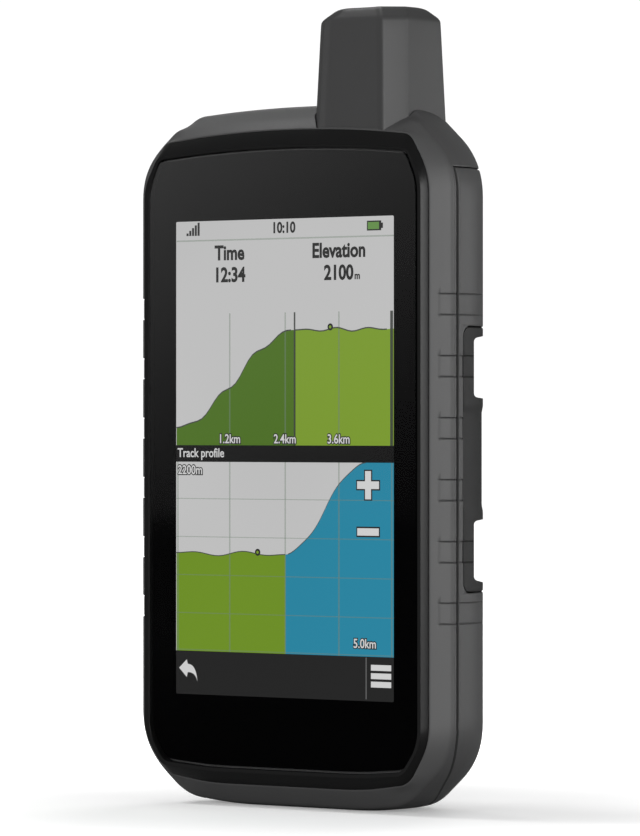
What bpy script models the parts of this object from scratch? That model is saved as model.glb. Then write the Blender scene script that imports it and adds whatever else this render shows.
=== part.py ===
"""A handheld GPS unit, standing on its bottom end.

The screen faces -Y, +X is the viewer's right and +Z is up. The origin is the centre of the
bounding box's bottom face. Every constant is in millimetres, and MM turns it into metres.
"""

import math
from collections import namedtuple

import bmesh
import bpy
from mathutils import Matrix, Vector

MM = 0.001

# An outline is symmetric about x = 0. Each corner is a straight cut from (half_width, side)
# to end, and the top and bottom edges bow outwards to reach their middle height. Bends are the
# lengths that rounding takes off at each angle, from the low end round to the high end.
Outline = namedtuple("Outline", "half_width top high_side high_end bottom low_side low_end bends")
Inset = namedtuple("Inset", "side cut end")

BODY = Outline(46.0, 158.8, 145.2, (31.9, 157.5), 0.0, 13.1, (32.0, 1.2), (6.0, 8.0, 8.0, 1.8))
RING_OUTER = Outline(41.5, 153.1, 142.4, (36.2, 151.1), 5.1, 16.0, (35.9, 6.9), (3.0, 4.0, 5.0, 2.0))
RING_CREST = Outline(40.8, 149.5, 141.2, (36.9, 147.9), 7.8, 15.8, (35.7, 8.8), (2.2, 3.6, 3.2, 1.6))
GLASS = Outline(39.3, 148.7, 140.4, (36.3, 147.0), 9.0, 15.9, (35.1, 10.0), (2.0, 3.5, 3.0, 1.5))
BEND_STEPS = 4
BOW_FRACTIONS = (0.0, 0.4, 0.7)
FOOT_FRACTION = 0.45

# Depths along Y, front to back.
CREST_Y = -16.2
GLASS_Y = (-16.0, -15.0)
RING_FOOT_Y = -13.9
LEDGE_Y = (-13.6, -11.6)
FRONT_EDGE_Y = -14.2
CHAMFER_END_Y = -11.1
HOUSING_SEAM_Y = -9.8
PACK_SEAM_Y = -8.9
FULL_Y = -7.5
END_CURVE_Y = 5.0
BACK_Y = 12.5
SPINE_BACK_Y = 16.2

CHAMFER_TOP = Inset(0.0, 0.0, 3.1)
CHAMFER_BOTTOM = Inset(0.0, 0.0, 0.6)
SIDE_RADIUS = BACK_Y - FULL_Y
TOP_DROP = 4.6
FOOT_DROP = 1.2
CUT_SHARES = (0.6, 0.5)
REAR_ANGLES = (0, 20, 36, 50, 64, 78, 90)

CAVITY = Inset(4.2, 4.4, 5.6)
CHASSIS_OUTER = Inset(4.5, 4.7, 5.9)
CHASSIS_INNER = Inset(5.6, 5.8, 7.2)
SEAL_OUTER = Inset(6.4, 7.0, 7.6)
GAP = 0.3

HEAD_FLOOR_Z = (143.9, 145.3)
PACK_TOP_Z = 143.6

# Below this height the side seam sweeps back, and it reaches the foot this much further back.
SEAM_BEND_Z = 19.0
SEAM_SWEEP = 11.0
SEAM_STEPS = 6

# The grip bands on both sides.
BAND_CENTRES = (44.9, 58.5, 72.2, 85.9, 99.6, 113.3)
BAND_HEIGHT = 4.9
BAND_DEPTH = 0.45
BAND_Y = (-13.2, 4.0)

# The rails in the pack's sides and their notches: the floors lie square to this direction.
NOTCH_ANGLE = math.radians(38.4)
NOTCH_REACH = 33.7
RAIL_REACH = 32.5
CELL_BAY_REACH = 31.0
RAIL_X = 44.4
RAIL_Y = (-7.4, 6.9)
RAIL_Z = (49.6, 108.3)
NOTCHES_Z = ((51.3, 65.7), (92.4, 106.6))

# The antenna stub.
STUB_X = 18.8
STUB_Y = -3.25
STUB_HALF = (13.6, 10.95)
STUB_CUT = 4.1
STUB_FOOT_Z = 150.3
STUB_STATIONS = ((150.3, 0.0), (178.0, 1.0), (179.6, 2.0), (180.3, 3.6))
STUB_WALL = 1.6

# The display stack.
LEDGE_OPENING = ((-35.0, 17.0), (35.0, 141.0))
LCD = ((-34.2, 21.5), (34.2, 137.1))

# The pack latch.
LATCH_Z = 24.0
POCKET_RADIUS = 12.5
POCKET_FLOOR_Y = 8.0
RING_PIN_Y = 10.0
SPINE_SCREWS_Z = (66.0, 104.0)

CHASSIS_SCREWS = tuple((x, z) for z in (22.0, 79.0, 134.0) for x in (-37.6, 37.6))

# The power button sits on the left cut shoulder.
SHOULDER_RUN = BODY.half_width - BODY.high_end[0]
SHOULDER_RISE = BODY.high_end[1] - BODY.high_side
BUTTON_X = -36.0
BUTTON_Z = BODY.high_side + (BODY.half_width + BUTTON_X) * SHOULDER_RISE / SHOULDER_RUN
BUTTON_Y = (-6.4, -0.9)

# The two weather caps on the head's back.
CAP_Z = (145.6, 151.4)
CAP_THICKNESS = 1.2
CAP_HINGE_Z = 151.7
USB_CAP_X = (-19.6, -7.0)
PORT_CAP_X = (-4.7, 2.7)

GREY = (0.085, 0.087, 0.090)
DARK = (0.030, 0.030, 0.032)
BLACK = (0.008, 0.008, 0.009)
STEEL = (0.55, 0.55, 0.56)
GOLD = (0.75, 0.55, 0.20)
BOARD = (0.02, 0.12, 0.06)


def clear_scene():
    for item in list(bpy.data.objects):
        bpy.data.objects.remove(item, do_unlink=True)


def paint(piece, colour, roughness, metallic=0.0):
    material = bpy.data.materials.new(piece.name)
    material.use_nodes = True
    shader = material.node_tree.nodes["Principled BSDF"]
    shader.inputs["Base Color"].default_value = (*colour, 1.0)
    shader.inputs["Roughness"].default_value = roughness
    shader.inputs["Metallic"].default_value = metallic
    piece.data.materials.append(material)
    return piece


def mesh_piece(name, points, faces):
    """A closed mesh object from points in millimetres, with its faces turned outwards."""
    shape = bmesh.new()
    corners = [shape.verts.new(Vector(point) * MM) for point in points]
    for face in faces:
        shape.faces.new([corners[index] for index in face])
    bmesh.ops.recalc_face_normals(shape, faces=shape.faces)
    mesh = bpy.data.meshes.new(name)
    shape.to_mesh(mesh)
    shape.free()
    piece = bpy.data.objects.new(name, mesh)
    bpy.context.scene.collection.objects.link(piece)
    return piece


def loft(name, rings, closed=False):
    """Joins rings of equal length in turn, then caps both ends or joins the last to the first."""
    size = len(rings[0])
    points = [point for ring in rings for point in ring]
    faces = []
    spans = len(rings) if closed else len(rings) - 1
    for span in range(spans):
        low = span * size
        high = (span + 1) % len(rings) * size
        for step in range(size):
            after = (step + 1) % size
            faces.append((low + step, low + after, high + after, high + step))
    if not closed:
        faces.append(tuple(range(size)))
        faces.append(tuple(range((len(rings) - 1) * size, len(rings) * size)))
    return mesh_piece(name, points, faces)


def slab(name, plan, low_y, high_y):
    """A plan in X and Z, extruded along Y."""
    return loft(name, [[(x, y, z) for x, z in plan] for y in (low_y, high_y)])


def column(name, plan, low_z, high_z):
    """A plan in X and Y, extruded along Z."""
    return loft(name, [[(x, y, z) for x, y in plan] for z in (low_z, high_z)])


def bar(name, plan, low_x, high_x):
    """A plan in Y and Z, extruded along X."""
    return loft(name, [[(x, y, z) for y, z in plan] for x in (low_x, high_x)])


def box(name, low, high):
    (x0, y0, z0), (x1, y1, z1) = low, high
    return column(name, ((x0, y0), (x1, y0), (x1, y1), (x0, y1)), z0, z1)


def circle(radius, sides, centre=(0.0, 0.0)):
    turns = [2 * math.pi * step / sides for step in range(sides)]
    return [(centre[0] + radius * math.cos(t), centre[1] + radius * math.sin(t)) for t in turns]


def disc(name, x, z, radius, low_y, high_y, sides=24):
    """A cylinder along Y."""
    return slab(name, circle(radius, sides, (x, z)), low_y, high_y)


def turned(name, x, z, profile, sides=24):
    """A solid of revolution about a line along Y, from (radius, y) pairs."""
    rings = [[(px, y, pz) for px, pz in circle(radius, sides, (x, z))] for radius, y in profile]
    return loft(name, rings)


def rod_along_x(name, y, z, radius, low_x, high_x, sides=16):
    return bar(name, circle(radius, sides, (y, z)), low_x, high_x)


def hide(helper):
    helper.hide_render = True
    helper.display_type = "WIRE"
    return helper


def boolean(target, operation, *others):
    for other in others:
        hide(other)
        modifier = target.modifiers.new(f"{operation.lower()}_{other.name}", "BOOLEAN")
        modifier.operation = operation
        modifier.object = other
    return target


def cut(target, *cutters):
    return boolean(target, "DIFFERENCE", *cutters)


def pivot(name, point, *pieces):
    """An empty on a joint's axis, which holds the pieces that move with the joint."""
    holder = bpy.data.objects.new(name, None)
    holder.location = Vector(point) * MM
    bpy.context.scene.collection.objects.link(holder)
    for piece in pieces:
        piece.parent = holder
        piece.matrix_parent_inverse = Matrix.Translation(-holder.location)
    return holder


def nest(child, parent):
    child.parent = parent
    child.matrix_parent_inverse = Matrix.Translation(-parent.location)


# Outlines and the body's skin


def cut_corner(half_width, side, end, inset):
    """Both ends of a cut corner, once its side, cut and end edges have moved inwards."""
    end_x, end_z = end
    away = math.copysign(1.0, end_z - side)
    run = half_width - end_x
    rise = abs(end_z - side)
    normal_x = rise / math.hypot(run, rise)
    normal_z = run / math.hypot(run, rise)
    reach = normal_x * half_width + normal_z * away * side - inset.cut
    new_x = half_width - inset.side
    new_z = end_z - away * inset.end
    side_point = (new_x, away * (reach - normal_x * new_x) / normal_z)
    end_point = ((reach - normal_z * away * new_z) / normal_x, new_z)
    return side_point, end_point


def bend(before, corner, after, setback):
    """A rounded corner as a quadratic curve, from setback before the corner to setback after it."""
    before, corner, after = Vector(before), Vector(corner), Vector(after)
    room = min((before - corner).length, (after - corner).length)
    setback = min(setback, 0.45 * room)
    start = corner + (before - corner).normalized() * setback
    stop = corner + (after - corner).normalized() * setback
    points = []
    for step in range(BEND_STEPS + 1):
        t = step / BEND_STEPS
        point = start * (1 - t) ** 2 + corner * 2 * t * (1 - t) + stop * t**2
        points.append(tuple(point))
    return points


def bow(middle, end, flat):
    """Points from x = 0 towards end, level over the flat share and then curving to it."""
    points = []
    for fraction in BOW_FRACTIONS:
        share = max(0.0, fraction - flat) / (1.0 - flat)
        points.append((end[0] * fraction, middle + (end[1] - middle) * share**2))
    return points


def outline(shape, inset=Inset(0.0, 0.0, 0.0), low_inset=None):
    """Points (x, z) once round, starting at the bottom's middle."""
    low_inset = low_inset or inset
    low_side, low_end = cut_corner(shape.half_width, shape.low_side, shape.low_end, low_inset)
    high_side, high_end = cut_corner(shape.half_width, shape.high_side, shape.high_end, inset)
    bottom = bow(shape.bottom + low_inset.end, low_end, FOOT_FRACTION)
    top = bow(shape.top - inset.end, high_end, 0.0)
    turns = (bottom[-1], low_end, low_side, high_side, high_end, top[-1])
    right = list(bottom)
    for step, setback in enumerate(shape.bends):
        right += bend(*turns[step : step + 3], setback)
    right += reversed(top)
    left = [(-x, z) for x, z in reversed(right[1:-1])]
    return right + left


def grown(shape, margin):
    return outline(shape, Inset(-margin, -margin, -margin))


def shrunk(inset, margin):
    return Inset(inset.side + margin, inset.cut + margin, inset.end + margin)


def end_inset(y, drop):
    share = min(1.0, max(0.0, (y - END_CURVE_Y) / (BACK_Y - END_CURVE_Y)))
    return drop * (1 - math.sqrt(1 - share**2))


def body_outline(y, margin=0.0):
    """The skin's outline behind the chamfer: the sides draw in on a long arc, the ends on a short one."""
    share = min(1.0, max(0.0, (y - FULL_Y) / SIDE_RADIUS))
    side = SIDE_RADIUS * (1 - math.sqrt(1 - share**2))
    high_cut, low_cut = (side * cut_share for cut_share in CUT_SHARES)
    high = Inset(side, high_cut, end_inset(y, TOP_DROP))
    low = Inset(side, low_cut, end_inset(y, FOOT_DROP))
    return outline(BODY, shrunk(high, margin), shrunk(low, margin))


def level(points, y):
    return [(x, y, z) for x, z in points]


def skin(name, margin=0.0):
    """The whole body's outer skin, moved inwards by margin."""
    chamfer_end = outline(BODY, shrunk(CHAMFER_TOP, margin), shrunk(CHAMFER_BOTTOM, margin))
    rings = [
        level(grown(RING_OUTER, 2 * GAP - margin), FRONT_EDGE_Y),
        level(chamfer_end, CHAMFER_END_Y),
    ]
    for angle in REAR_ANGLES:
        y = FULL_Y + SIDE_RADIUS * math.sin(math.radians(angle))
        rings.append(level(body_outline(y, margin), y))
    return loft(name, rings)


def seam_plan(y, top_z, far_y):
    """The side seam's line in Y and Z from top_z down past the foot, closed at far_y."""
    line = [(y, top_z)]
    for step in range(SEAM_STEPS + 2):
        share = step / SEAM_STEPS
        line.append((y + SEAM_SWEEP * share**2, SEAM_BEND_Z * (1 - share)))
    return line + [(far_y, line[-1][1]), (far_y, top_z)]


def slope_x(reach, y):
    """Where a plane square to the notch direction, this far out, meets depth y."""
    return (reach - math.sin(NOTCH_ANGLE) * y) / math.cos(NOTCH_ANGLE)


def band_cutter():
    """Six bands across the full width, hollow inside the body, so that each cuts a shallow groove."""
    half = BAND_HEIGHT / 2
    low, high = BAND_Y
    points = []
    faces = []
    for centre in BAND_CENTRES:
        first = len(points)
        for z in (centre - half, centre + half):
            points += [(-60.0, low, z), (60.0, low, z), (60.0, high, z), (-60.0, high, z)]
        corners = [first + step for step in range(8)]
        faces += [corners[:4], corners[4:]]
        for step in range(4):
            after = (step + 1) % 4
            faces.append((corners[step], corners[after], corners[4 + after], corners[4 + step]))
    bands = mesh_piece("band_cutter", points, faces)
    return cut(bands, skin("band_core", BAND_DEPTH))


def stub_ring(grow, z):
    """The antenna stub's plan at height z: a rectangle with cut corners."""
    half_x = STUB_HALF[0] + grow
    half_y = STUB_HALF[1] + grow
    corner = STUB_CUT
    plan = (
        (half_x - corner, -half_y),
        (half_x, corner - half_y),
        (half_x, half_y - corner),
        (half_x - corner, half_y),
        (corner - half_x, half_y),
        (-half_x, half_y - corner),
        (-half_x, corner - half_y),
        (corner - half_x, -half_y),
    )
    return [(STUB_X + x, STUB_Y + y, z) for x, y in plan]


# The front: glass, ring and display


def make_bezel_ring():
    inner = grown(GLASS, GAP)
    outer = outline(RING_OUTER)
    rings = [
        level(inner, RING_FOOT_Y),
        level(inner, GLASS_Y[0] + 0.1),
        level(outline(RING_CREST), CREST_Y),
        level(outer, FRONT_EDGE_Y - 0.1),
        level(outer, RING_FOOT_Y),
    ]
    return paint(loft("bezel_ring", rings, closed=True), BLACK, 0.35)


def make_glass_stack():
    glass = slab("cover_glass", outline(GLASS), *GLASS_Y)
    paint(glass, BLACK, 0.04)
    gasket = slab("glass_gasket", grown(GLASS, -GAP), GLASS_Y[1] + GAP, RING_FOOT_Y)
    (x0, z0), (x1, z1) = LEDGE_OPENING
    cut(gasket, box("gasket_window", (x0, -20.0, z0), (x1, -10.0, z1)))
    paint(gasket, BLACK, 0.8)
    (x0, z0), (x1, z1) = LCD
    paint(box("lcd_panel", (x0, -14.7, z0), (x1, -13.2, z1)), BLACK, 0.3)
    paint(box("backlight_unit", (x0, -12.9, z0), (x1, -11.5, z1)), (0.8, 0.8, 0.8), 0.5)
    paint(box("display_frame", (x0, -11.2, z0), (x1, -10.4, z1)), STEEL, 0.4, 0.9)
    ribbon = (
        (-14.1, 21.2),
        (-14.1, 18.8),
        (-9.7, 18.8),
        (-9.7, 32.0),
        (-9.95, 32.0),
        (-9.95, 19.1),
        (-13.8, 19.1),
        (-13.8, 21.2),
    )
    paint(bar("display_flex", ribbon, -9.0, 9.0), (0.45, 0.22, 0.04), 0.5)


def make_electronics():
    paint(box("main_board", (-33.0, -9.0, 27.0), (33.0, -8.0, 139.0)), BOARD, 0.5)
    paint(box("shield_can_processor", (-26.0, -7.7, 62.0), (4.0, -5.9, 98.0)), STEEL, 0.35, 0.9)
    paint(box("shield_can_radio", (8.0, -7.7, 104.0), (29.0, -5.9, 128.0)), STEEL, 0.35, 0.9)
    paint(disc("backup_cell", -24.0, 44.0, 3.4, -7.7, -6.3), STEEL, 0.3, 0.9)


# The antenna stub


def make_antenna():
    rings = [stub_ring(-inset, z) for z, inset in STUB_STATIONS]
    radome = loft("antenna_radome", rings)
    low_ring = stub_ring(-STUB_WALL, STUB_FOOT_Z - 1.0)
    high_ring = stub_ring(-STUB_WALL - 1.0, 176.0)
    hollow = loft("radome_hollow", [low_ring, high_ring])
    ring_room = slab("ring_room", grown(RING_OUTER, 1.5 * GAP), -20.0, LEDGE_Y[0] + GAP)
    paint(cut(radome, hollow, ring_room), GREY, 0.6)
    seal = loft("antenna_seal", [stub_ring(-1.5, 149.3), stub_ring(-1.5, 150.0)])
    window = loft("seal_window", [stub_ring(-3.9, 148.0), stub_ring(-3.9, 152.0)])
    paint(cut(seal, window), BLACK, 0.8)
    core = column("antenna_core", circle(5.5, 24, (STUB_X, STUB_Y)), 152.6, 174.0)
    paint(core, (0.75, 0.72, 0.65), 0.4)
    paint(column("antenna_board", circle(8.0, 24, (STUB_X, STUB_Y)), 151.4, 152.3), BOARD, 0.5)
    path = ((-4.0, 151.0), (-5.6, 146.5), (-7.0, 141.0), (-7.0, 136.0))
    rings = [[(x, y, z) for x, y in circle(0.6, 8, (STUB_X, centre_y))] for centre_y, z in path]
    paint(loft("antenna_cable", rings), BLACK, 0.5)


# The head: power button, speaker and the two ports


def shoulder_matrix():
    """Turns (along, depth, out) into the left shoulder's frame."""
    along = Vector((SHOULDER_RUN, 0.0, SHOULDER_RISE)).normalized()
    out = Vector((-SHOULDER_RISE, 0.0, SHOULDER_RUN)).normalized()
    matrix = Matrix((along, Vector((0.0, 1.0, 0.0)), out)).transposed().to_4x4()
    matrix.translation = Vector((BUTTON_X, 0.0, BUTTON_Z)) * MM
    return matrix


def on_shoulder(piece):
    piece.data.transform(shoulder_matrix())
    return piece


def make_power_button():
    low, high = BUTTON_Y
    cap = on_shoulder(box("power_button", (-4.8, low, -3.3), (3.4, high, 0.5)))
    flange = on_shoulder(box("button_flange", (-5.6, low - 0.8, -3.8), (4.0, high + 0.8, -3.1)))
    centre = (-0.7, (low + high) / 2)
    stem = on_shoulder(column("button_stem", circle(1.2, 16, centre), -5.5, -3.5))
    boolean(cap, "UNION", flange, stem)
    paint(cap, DARK, 0.6)
    boot = on_shoulder(box("button_boot", (-5.6, low - 0.8, -5.0), (4.0, high + 0.8, -4.5)))
    paint(cut(boot, on_shoulder(column("boot_hole", circle(1.6, 16, centre), -8.0, 0.0))), BLACK, 0.8)
    switch = on_shoulder(box("power_switch_board", (-4.0, low, -6.9), (2.6, high, -6.3)))
    paint(switch, BOARD, 0.5)
    pivot("power_button_axis", (BUTTON_X, sum(BUTTON_Y) / 2, BUTTON_Z), cap)


def button_hole():
    low, high = BUTTON_Y
    return on_shoulder(box("button_hole", (-5.1, low - GAP, -6.0), (3.7, high + GAP, 4.0)))


def make_weather_cap(name, span, plug):
    """A soft cap flush with the back, with a plug on its inner face, hung from its upper edge."""
    low, high = span
    cap = box(name, (low, BACK_Y - CAP_THICKNESS, CAP_Z[0]), (high, BACK_Y, CAP_Z[1]))
    boolean(cap, "UNION", plug)
    paint(cap, BLACK, 0.75)
    pivot(f"{name}_axis", ((low + high) / 2, BACK_Y, CAP_HINGE_Z), cap)
    return cap


def cap_recess(name, span):
    low = (span[0] - GAP, BACK_Y - CAP_THICKNESS - GAP, CAP_Z[0] - GAP)
    return box(f"{name}_recess", low, (span[1] + GAP, 20.0, CAP_HINGE_Z))


def make_ports():
    usb_x = sum(USB_CAP_X) / 2
    port_x = sum(PORT_CAP_X) / 2
    middle = 148.6
    usb = box("usb_connector", (usb_x - 4.2, 3.0, middle - 1.5), (usb_x + 4.2, 10.4, middle + 1.5))
    cut(usb, box("usb_mouth", (usb_x - 3.5, 5.0, middle - 0.9), (usb_x + 3.5, 12.0, middle + 0.9)))
    paint(usb, STEEL, 0.3, 0.9)
    port = disc("antenna_port_connector", port_x, middle, 2.1, 3.0, 10.4)
    paint(cut(port, disc("port_bore", port_x, middle, 1.2, 6.0, 12.0)), GOLD, 0.3, 0.9)
    plug = box("usb_plug", (usb_x - 3.4, 10.8, middle - 0.8), (usb_x + 3.4, 11.6, middle + 0.8))
    make_weather_cap("usb_cap", USB_CAP_X, plug)
    plug = disc("port_plug", port_x, middle, 1.4, 10.8, 11.6, 16)
    make_weather_cap("antenna_port_cap", PORT_CAP_X, plug)


def port_openings():
    usb_x = sum(USB_CAP_X) / 2
    port_x = sum(PORT_CAP_X) / 2
    return (
        box("usb_opening", (usb_x - 4.8, 6.0, 146.4), (usb_x + 4.8, 12.0, 150.8)),
        disc("port_opening", port_x, 148.6, 2.5, 9.8, 12.0),
        cap_recess("usb_cap", USB_CAP_X),
        cap_recess("antenna_port_cap", PORT_CAP_X),
    )


def make_speaker():
    paint(box("speaker", (-28.0, 4.6, 145.9), (-20.6, 7.8, 151.0)), DARK, 0.5)
    gasket = box("speaker_gasket", (-28.0, 8.1, 146.4), (-20.8, 9.0, 151.0))
    cut(gasket, box("gasket_hole", (-26.4, 7.0, 147.4), (-21.8, 10.0, 150.0)))
    paint(gasket, BLACK, 0.8)


# The front housing


def antenna_block(name):
    """The solid round the stub's foot, which the head's hollow leaves standing."""
    return box(name, (3.0, -20.0, 147.0), (34.6, 9.5, 170.0))


def head_hollow():
    rings = [level(outline(BODY, Inset(2.9, 2.4, 2.9)), -8.0)]
    for y, wall in ((1.0, 1.9), (6.0, 2.0), (10.5, 2.0)):
        rings.append(level(body_outline(y, wall), y))
    hollow = loft("head_hollow", rings)
    below = box("head_hollow_floor", (-60.0, -4.0, -10.0), (60.0, 20.0, HEAD_FLOOR_Z[1]))
    front = box("head_hollow_front", (-60.0, -20.0, -10.0), (60.0, 0.0, 140.0))
    return cut(hollow, below, front, antenna_block("head_block"))


def make_front_housing(bands):
    housing = skin("front_housing")
    boss_y = (LEDGE_Y[1] - 1.0, -4.3)
    below_head = bar("below_head", seam_plan(HOUSING_SEAM_Y, HEAD_FLOOR_Z[0], 60.0), -60.0, 60.0)
    cavity = slab("front_cavity", outline(BODY, CAVITY), LEDGE_Y[1], -4.0)
    cut(cavity, antenna_block("front_block"))
    seat = slab("ring_seat", grown(RING_OUTER, GAP), -20.0, LEDGE_Y[0])
    (x0, z0), (x1, z1) = LEDGE_OPENING
    window = box("ledge_window", (x0, -20.0, z0), (x1, -10.0, z1))
    pocket = loft("stub_pocket", [stub_ring(GAP, 149.0), stub_ring(GAP, 190.0)])
    cable_hole = column("cable_hole", circle(3.2, 20, (STUB_X, -4.4)), 140.0, 150.0)
    cut(housing, below_head, cavity, head_hollow(), seat, window)
    for index, (x, z) in enumerate(CHASSIS_SCREWS):
        boolean(housing, "UNION", disc(f"boss_{index}", x, z, 2.2, *boss_y, 16))
    for index, (x, z) in enumerate(CHASSIS_SCREWS):
        cut(housing, disc(f"boss_bore_{index}", x, z, 1.3, -10.6, 0.0, 12))
    cut(housing, pocket, cable_hole, button_hole(), *port_openings())
    for step in range(3):
        cut(housing, disc(f"sound_hole_{step}", -24.0, 147.4 + 1.3 * step, 0.45, 8.0, 16.0, 8))
    cut(housing, bands)
    paint(housing, GREY, 0.6)


# The rear chassis and what it carries


def make_chassis():
    chassis = slab("rear_chassis", outline(BODY, CHASSIS_OUTER), -9.9, -2.2)
    above = box("above_chassis", (-60.0, -20.0, PACK_TOP_Z), (60.0, 20.0, 200.0))
    inner = slab("chassis_hollow", outline(BODY, CHASSIS_INNER), -12.0, -4.0)
    keeper_hole = disc("keeper_hole", 0.0, LATCH_Z, 6.9, -6.0, 0.0)
    card_bay = box("card_bay", (19.0, -3.2, 94.0), (35.0, 0.0, 127.0))
    vent_hole = disc("vent_hole", -25.0, 110.0, 1.2, -6.0, 0.0, 12)
    cut(chassis, above, inner, keeper_hole, card_bay, vent_hole)
    for index, (x, z) in enumerate(CHASSIS_SCREWS):
        cut(chassis, disc(f"chassis_hole_{index}", x, z, 1.3, -6.0, 0.0, 12))
        cut(chassis, disc(f"chassis_seat_{index}", x, z, 2.3, -3.3, 0.0, 16))
    paint(chassis, DARK, 0.6)
    seal = slab("chassis_seal", outline(BODY, shrunk(CHASSIS_OUTER, 0.2)), -11.3, -10.2)
    cut(seal, slab("seal_inner", outline(BODY, CHASSIS_INNER), -13.0, -9.0))
    cut(seal, box("seal_over_head", (-60.0, -20.0, PACK_TOP_Z - 0.2), (60.0, 20.0, 200.0)))
    paint(seal, BLACK, 0.8)
    paint(disc("vent_membrane", -25.0, 110.0, 3.0, -1.9, -1.5), (0.8, 0.8, 0.8), 0.9)
    paint(box("battery_contact_block", (-12.0, -1.9, 128.0), (12.0, -1.0, 137.0)), GOLD, 0.4, 0.6)
    keeper = turned("latch_keeper", 0.0, LATCH_Z, ((6.5, -7.4), (6.5, -1.9), (8.2, -1.9), (8.2, -1.2)))
    paint(cut(keeper, disc("keeper_bore", 0.0, LATCH_Z, 3.8, -6.9, 0.0)), STEEL, 0.35, 0.9)
    for index, (x, z) in enumerate(CHASSIS_SCREWS):
        profile = ((1.0, -9.6), (1.0, -3.1), (1.9, -3.1), (1.9, -2.3))
        screw = turned(f"chassis_screw_{index + 1}", x, z, profile, 12)
        paint(cut(screw, disc(f"drive_{index}", x, z, 0.8, -2.8, 0.0, 6)), STEEL, 0.3, 0.9)


def make_card():
    socket = box("card_socket", (20.0, -2.9, 111.5), (34.0, -1.1, 126.5))
    cut(socket, box("card_slot", (21.2, -2.5, 100.0), (32.8, -1.5, 125.5)))
    paint(socket, STEEL, 0.35, 0.9)
    card = box("memory_card", (21.5, -2.35, 110.0), (32.5, -1.65, 125.0))
    paint(card, BLACK, 0.4)
    pivot("memory_card_axis", (27.0, -2.0, 117.5), card)


# The battery pack


def rail_outline(side, x, reach, low_y, high_y):
    """A rail's plan: inner faces on the X plane and on the notch slope, open towards the outside."""
    knee_y = (reach - math.cos(NOTCH_ANGLE) * x) / math.sin(NOTCH_ANGLE)
    plan = ((x, low_y), (x, knee_y), (slope_x(reach, high_y), high_y), (60.0, high_y), (60.0, low_y))
    return [(side * px, py) for px, py in plan]


def notch_cutter(name, side, z_range):
    low_y, high_y = -10.0, 14.0
    plan = [(slope_x(NOTCH_REACH, y), y) for y in (low_y, high_y)]
    plan += [(70.0, high_y), (70.0, low_y)]
    return column(name, [(side * x, y) for x, y in plan], *z_range)


def make_rails(bands):
    for word, side in (("left", -1), ("right", 1)):
        plan = rail_outline(side, RAIL_X, RAIL_REACH, *RAIL_Y)
        rail = column(f"side_rail_{word}", plan, *RAIL_Z)
        boolean(rail, "INTERSECT", skin(f"{word}_rail_skin"))
        for index, z_range in enumerate(NOTCHES_Z):
            cut(rail, notch_cutter(f"{word}_rail_notch_{index}", side, z_range))
        cut(rail, bands)
        paint(rail, DARK, 0.7)


def cell_bay():
    rings = []
    for y in (-2.6, BACK_Y - 1.8):
        side = BODY.half_width - slope_x(CELL_BAY_REACH, y)
        rings.append(level(outline(BODY, Inset(side, side * CUT_SHARES[0] + 2.4, 7.0)), y))
    bay = loft("cell_bay", rings)
    cut(bay, box("bay_top", (-60.0, -20.0, PACK_TOP_Z - 1.8), (60.0, 20.0, 200.0)))
    return cut(bay, disc("latch_boss", 0.0, LATCH_Z, POCKET_RADIUS + 1.7, POCKET_FLOOR_Y - 1.8, 20.0))


def make_pack_case(bands):
    case = skin("pack_case")
    skirt = slab("skirt_hollow", outline(BODY, CAVITY), -20.0, -1.9)
    before = bar("before_seam", seam_plan(PACK_SEAM_Y, 200.0, -60.0), -60.0, 60.0)
    above = box("above_pack", (-60.0, -30.0, PACK_TOP_Z), (60.0, 30.0, 200.0))
    cut(case, before, above, skirt, cell_bay())
    pocket = disc("ring_pocket", 0.0, LATCH_Z, POCKET_RADIUS, POCKET_FLOOR_Y, 20.0, 40)
    counterbore = disc("seal_counterbore", 0.0, LATCH_Z, 5.0, 6.8, 9.0)
    shaft_hole = disc("shaft_hole", 0.0, LATCH_Z, 3.4, 4.0, 9.0)
    cut(case, pocket, counterbore, shaft_hole)
    for index, z in enumerate(SPINE_SCREWS_Z):
        cut(case, disc(f"case_screw_hole_{index}", 0.0, z, 1.5, 5.0, 20.0, 12))
    cut(case, box("dock_recess", (-14.3, BACK_Y - 1.0, 125.7), (14.3, 20.0, 133.3)))
    for word, side in (("left", -1), ("right", 1)):
        margin = 1.25 * GAP
        plan = rail_outline(side, RAIL_X - GAP, RAIL_REACH - margin, RAIL_Y[0] - GAP, RAIL_Y[1] + GAP)
        cut(case, column(f"{word}_rail_pocket", plan, RAIL_Z[0] - GAP, RAIL_Z[1] + GAP))
        for index, z_range in enumerate(NOTCHES_Z):
            cut(case, notch_cutter(f"{word}_case_notch_{index}", side, z_range))
    cut(case, bands)
    return paint(case, GREY, 0.6)


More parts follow.
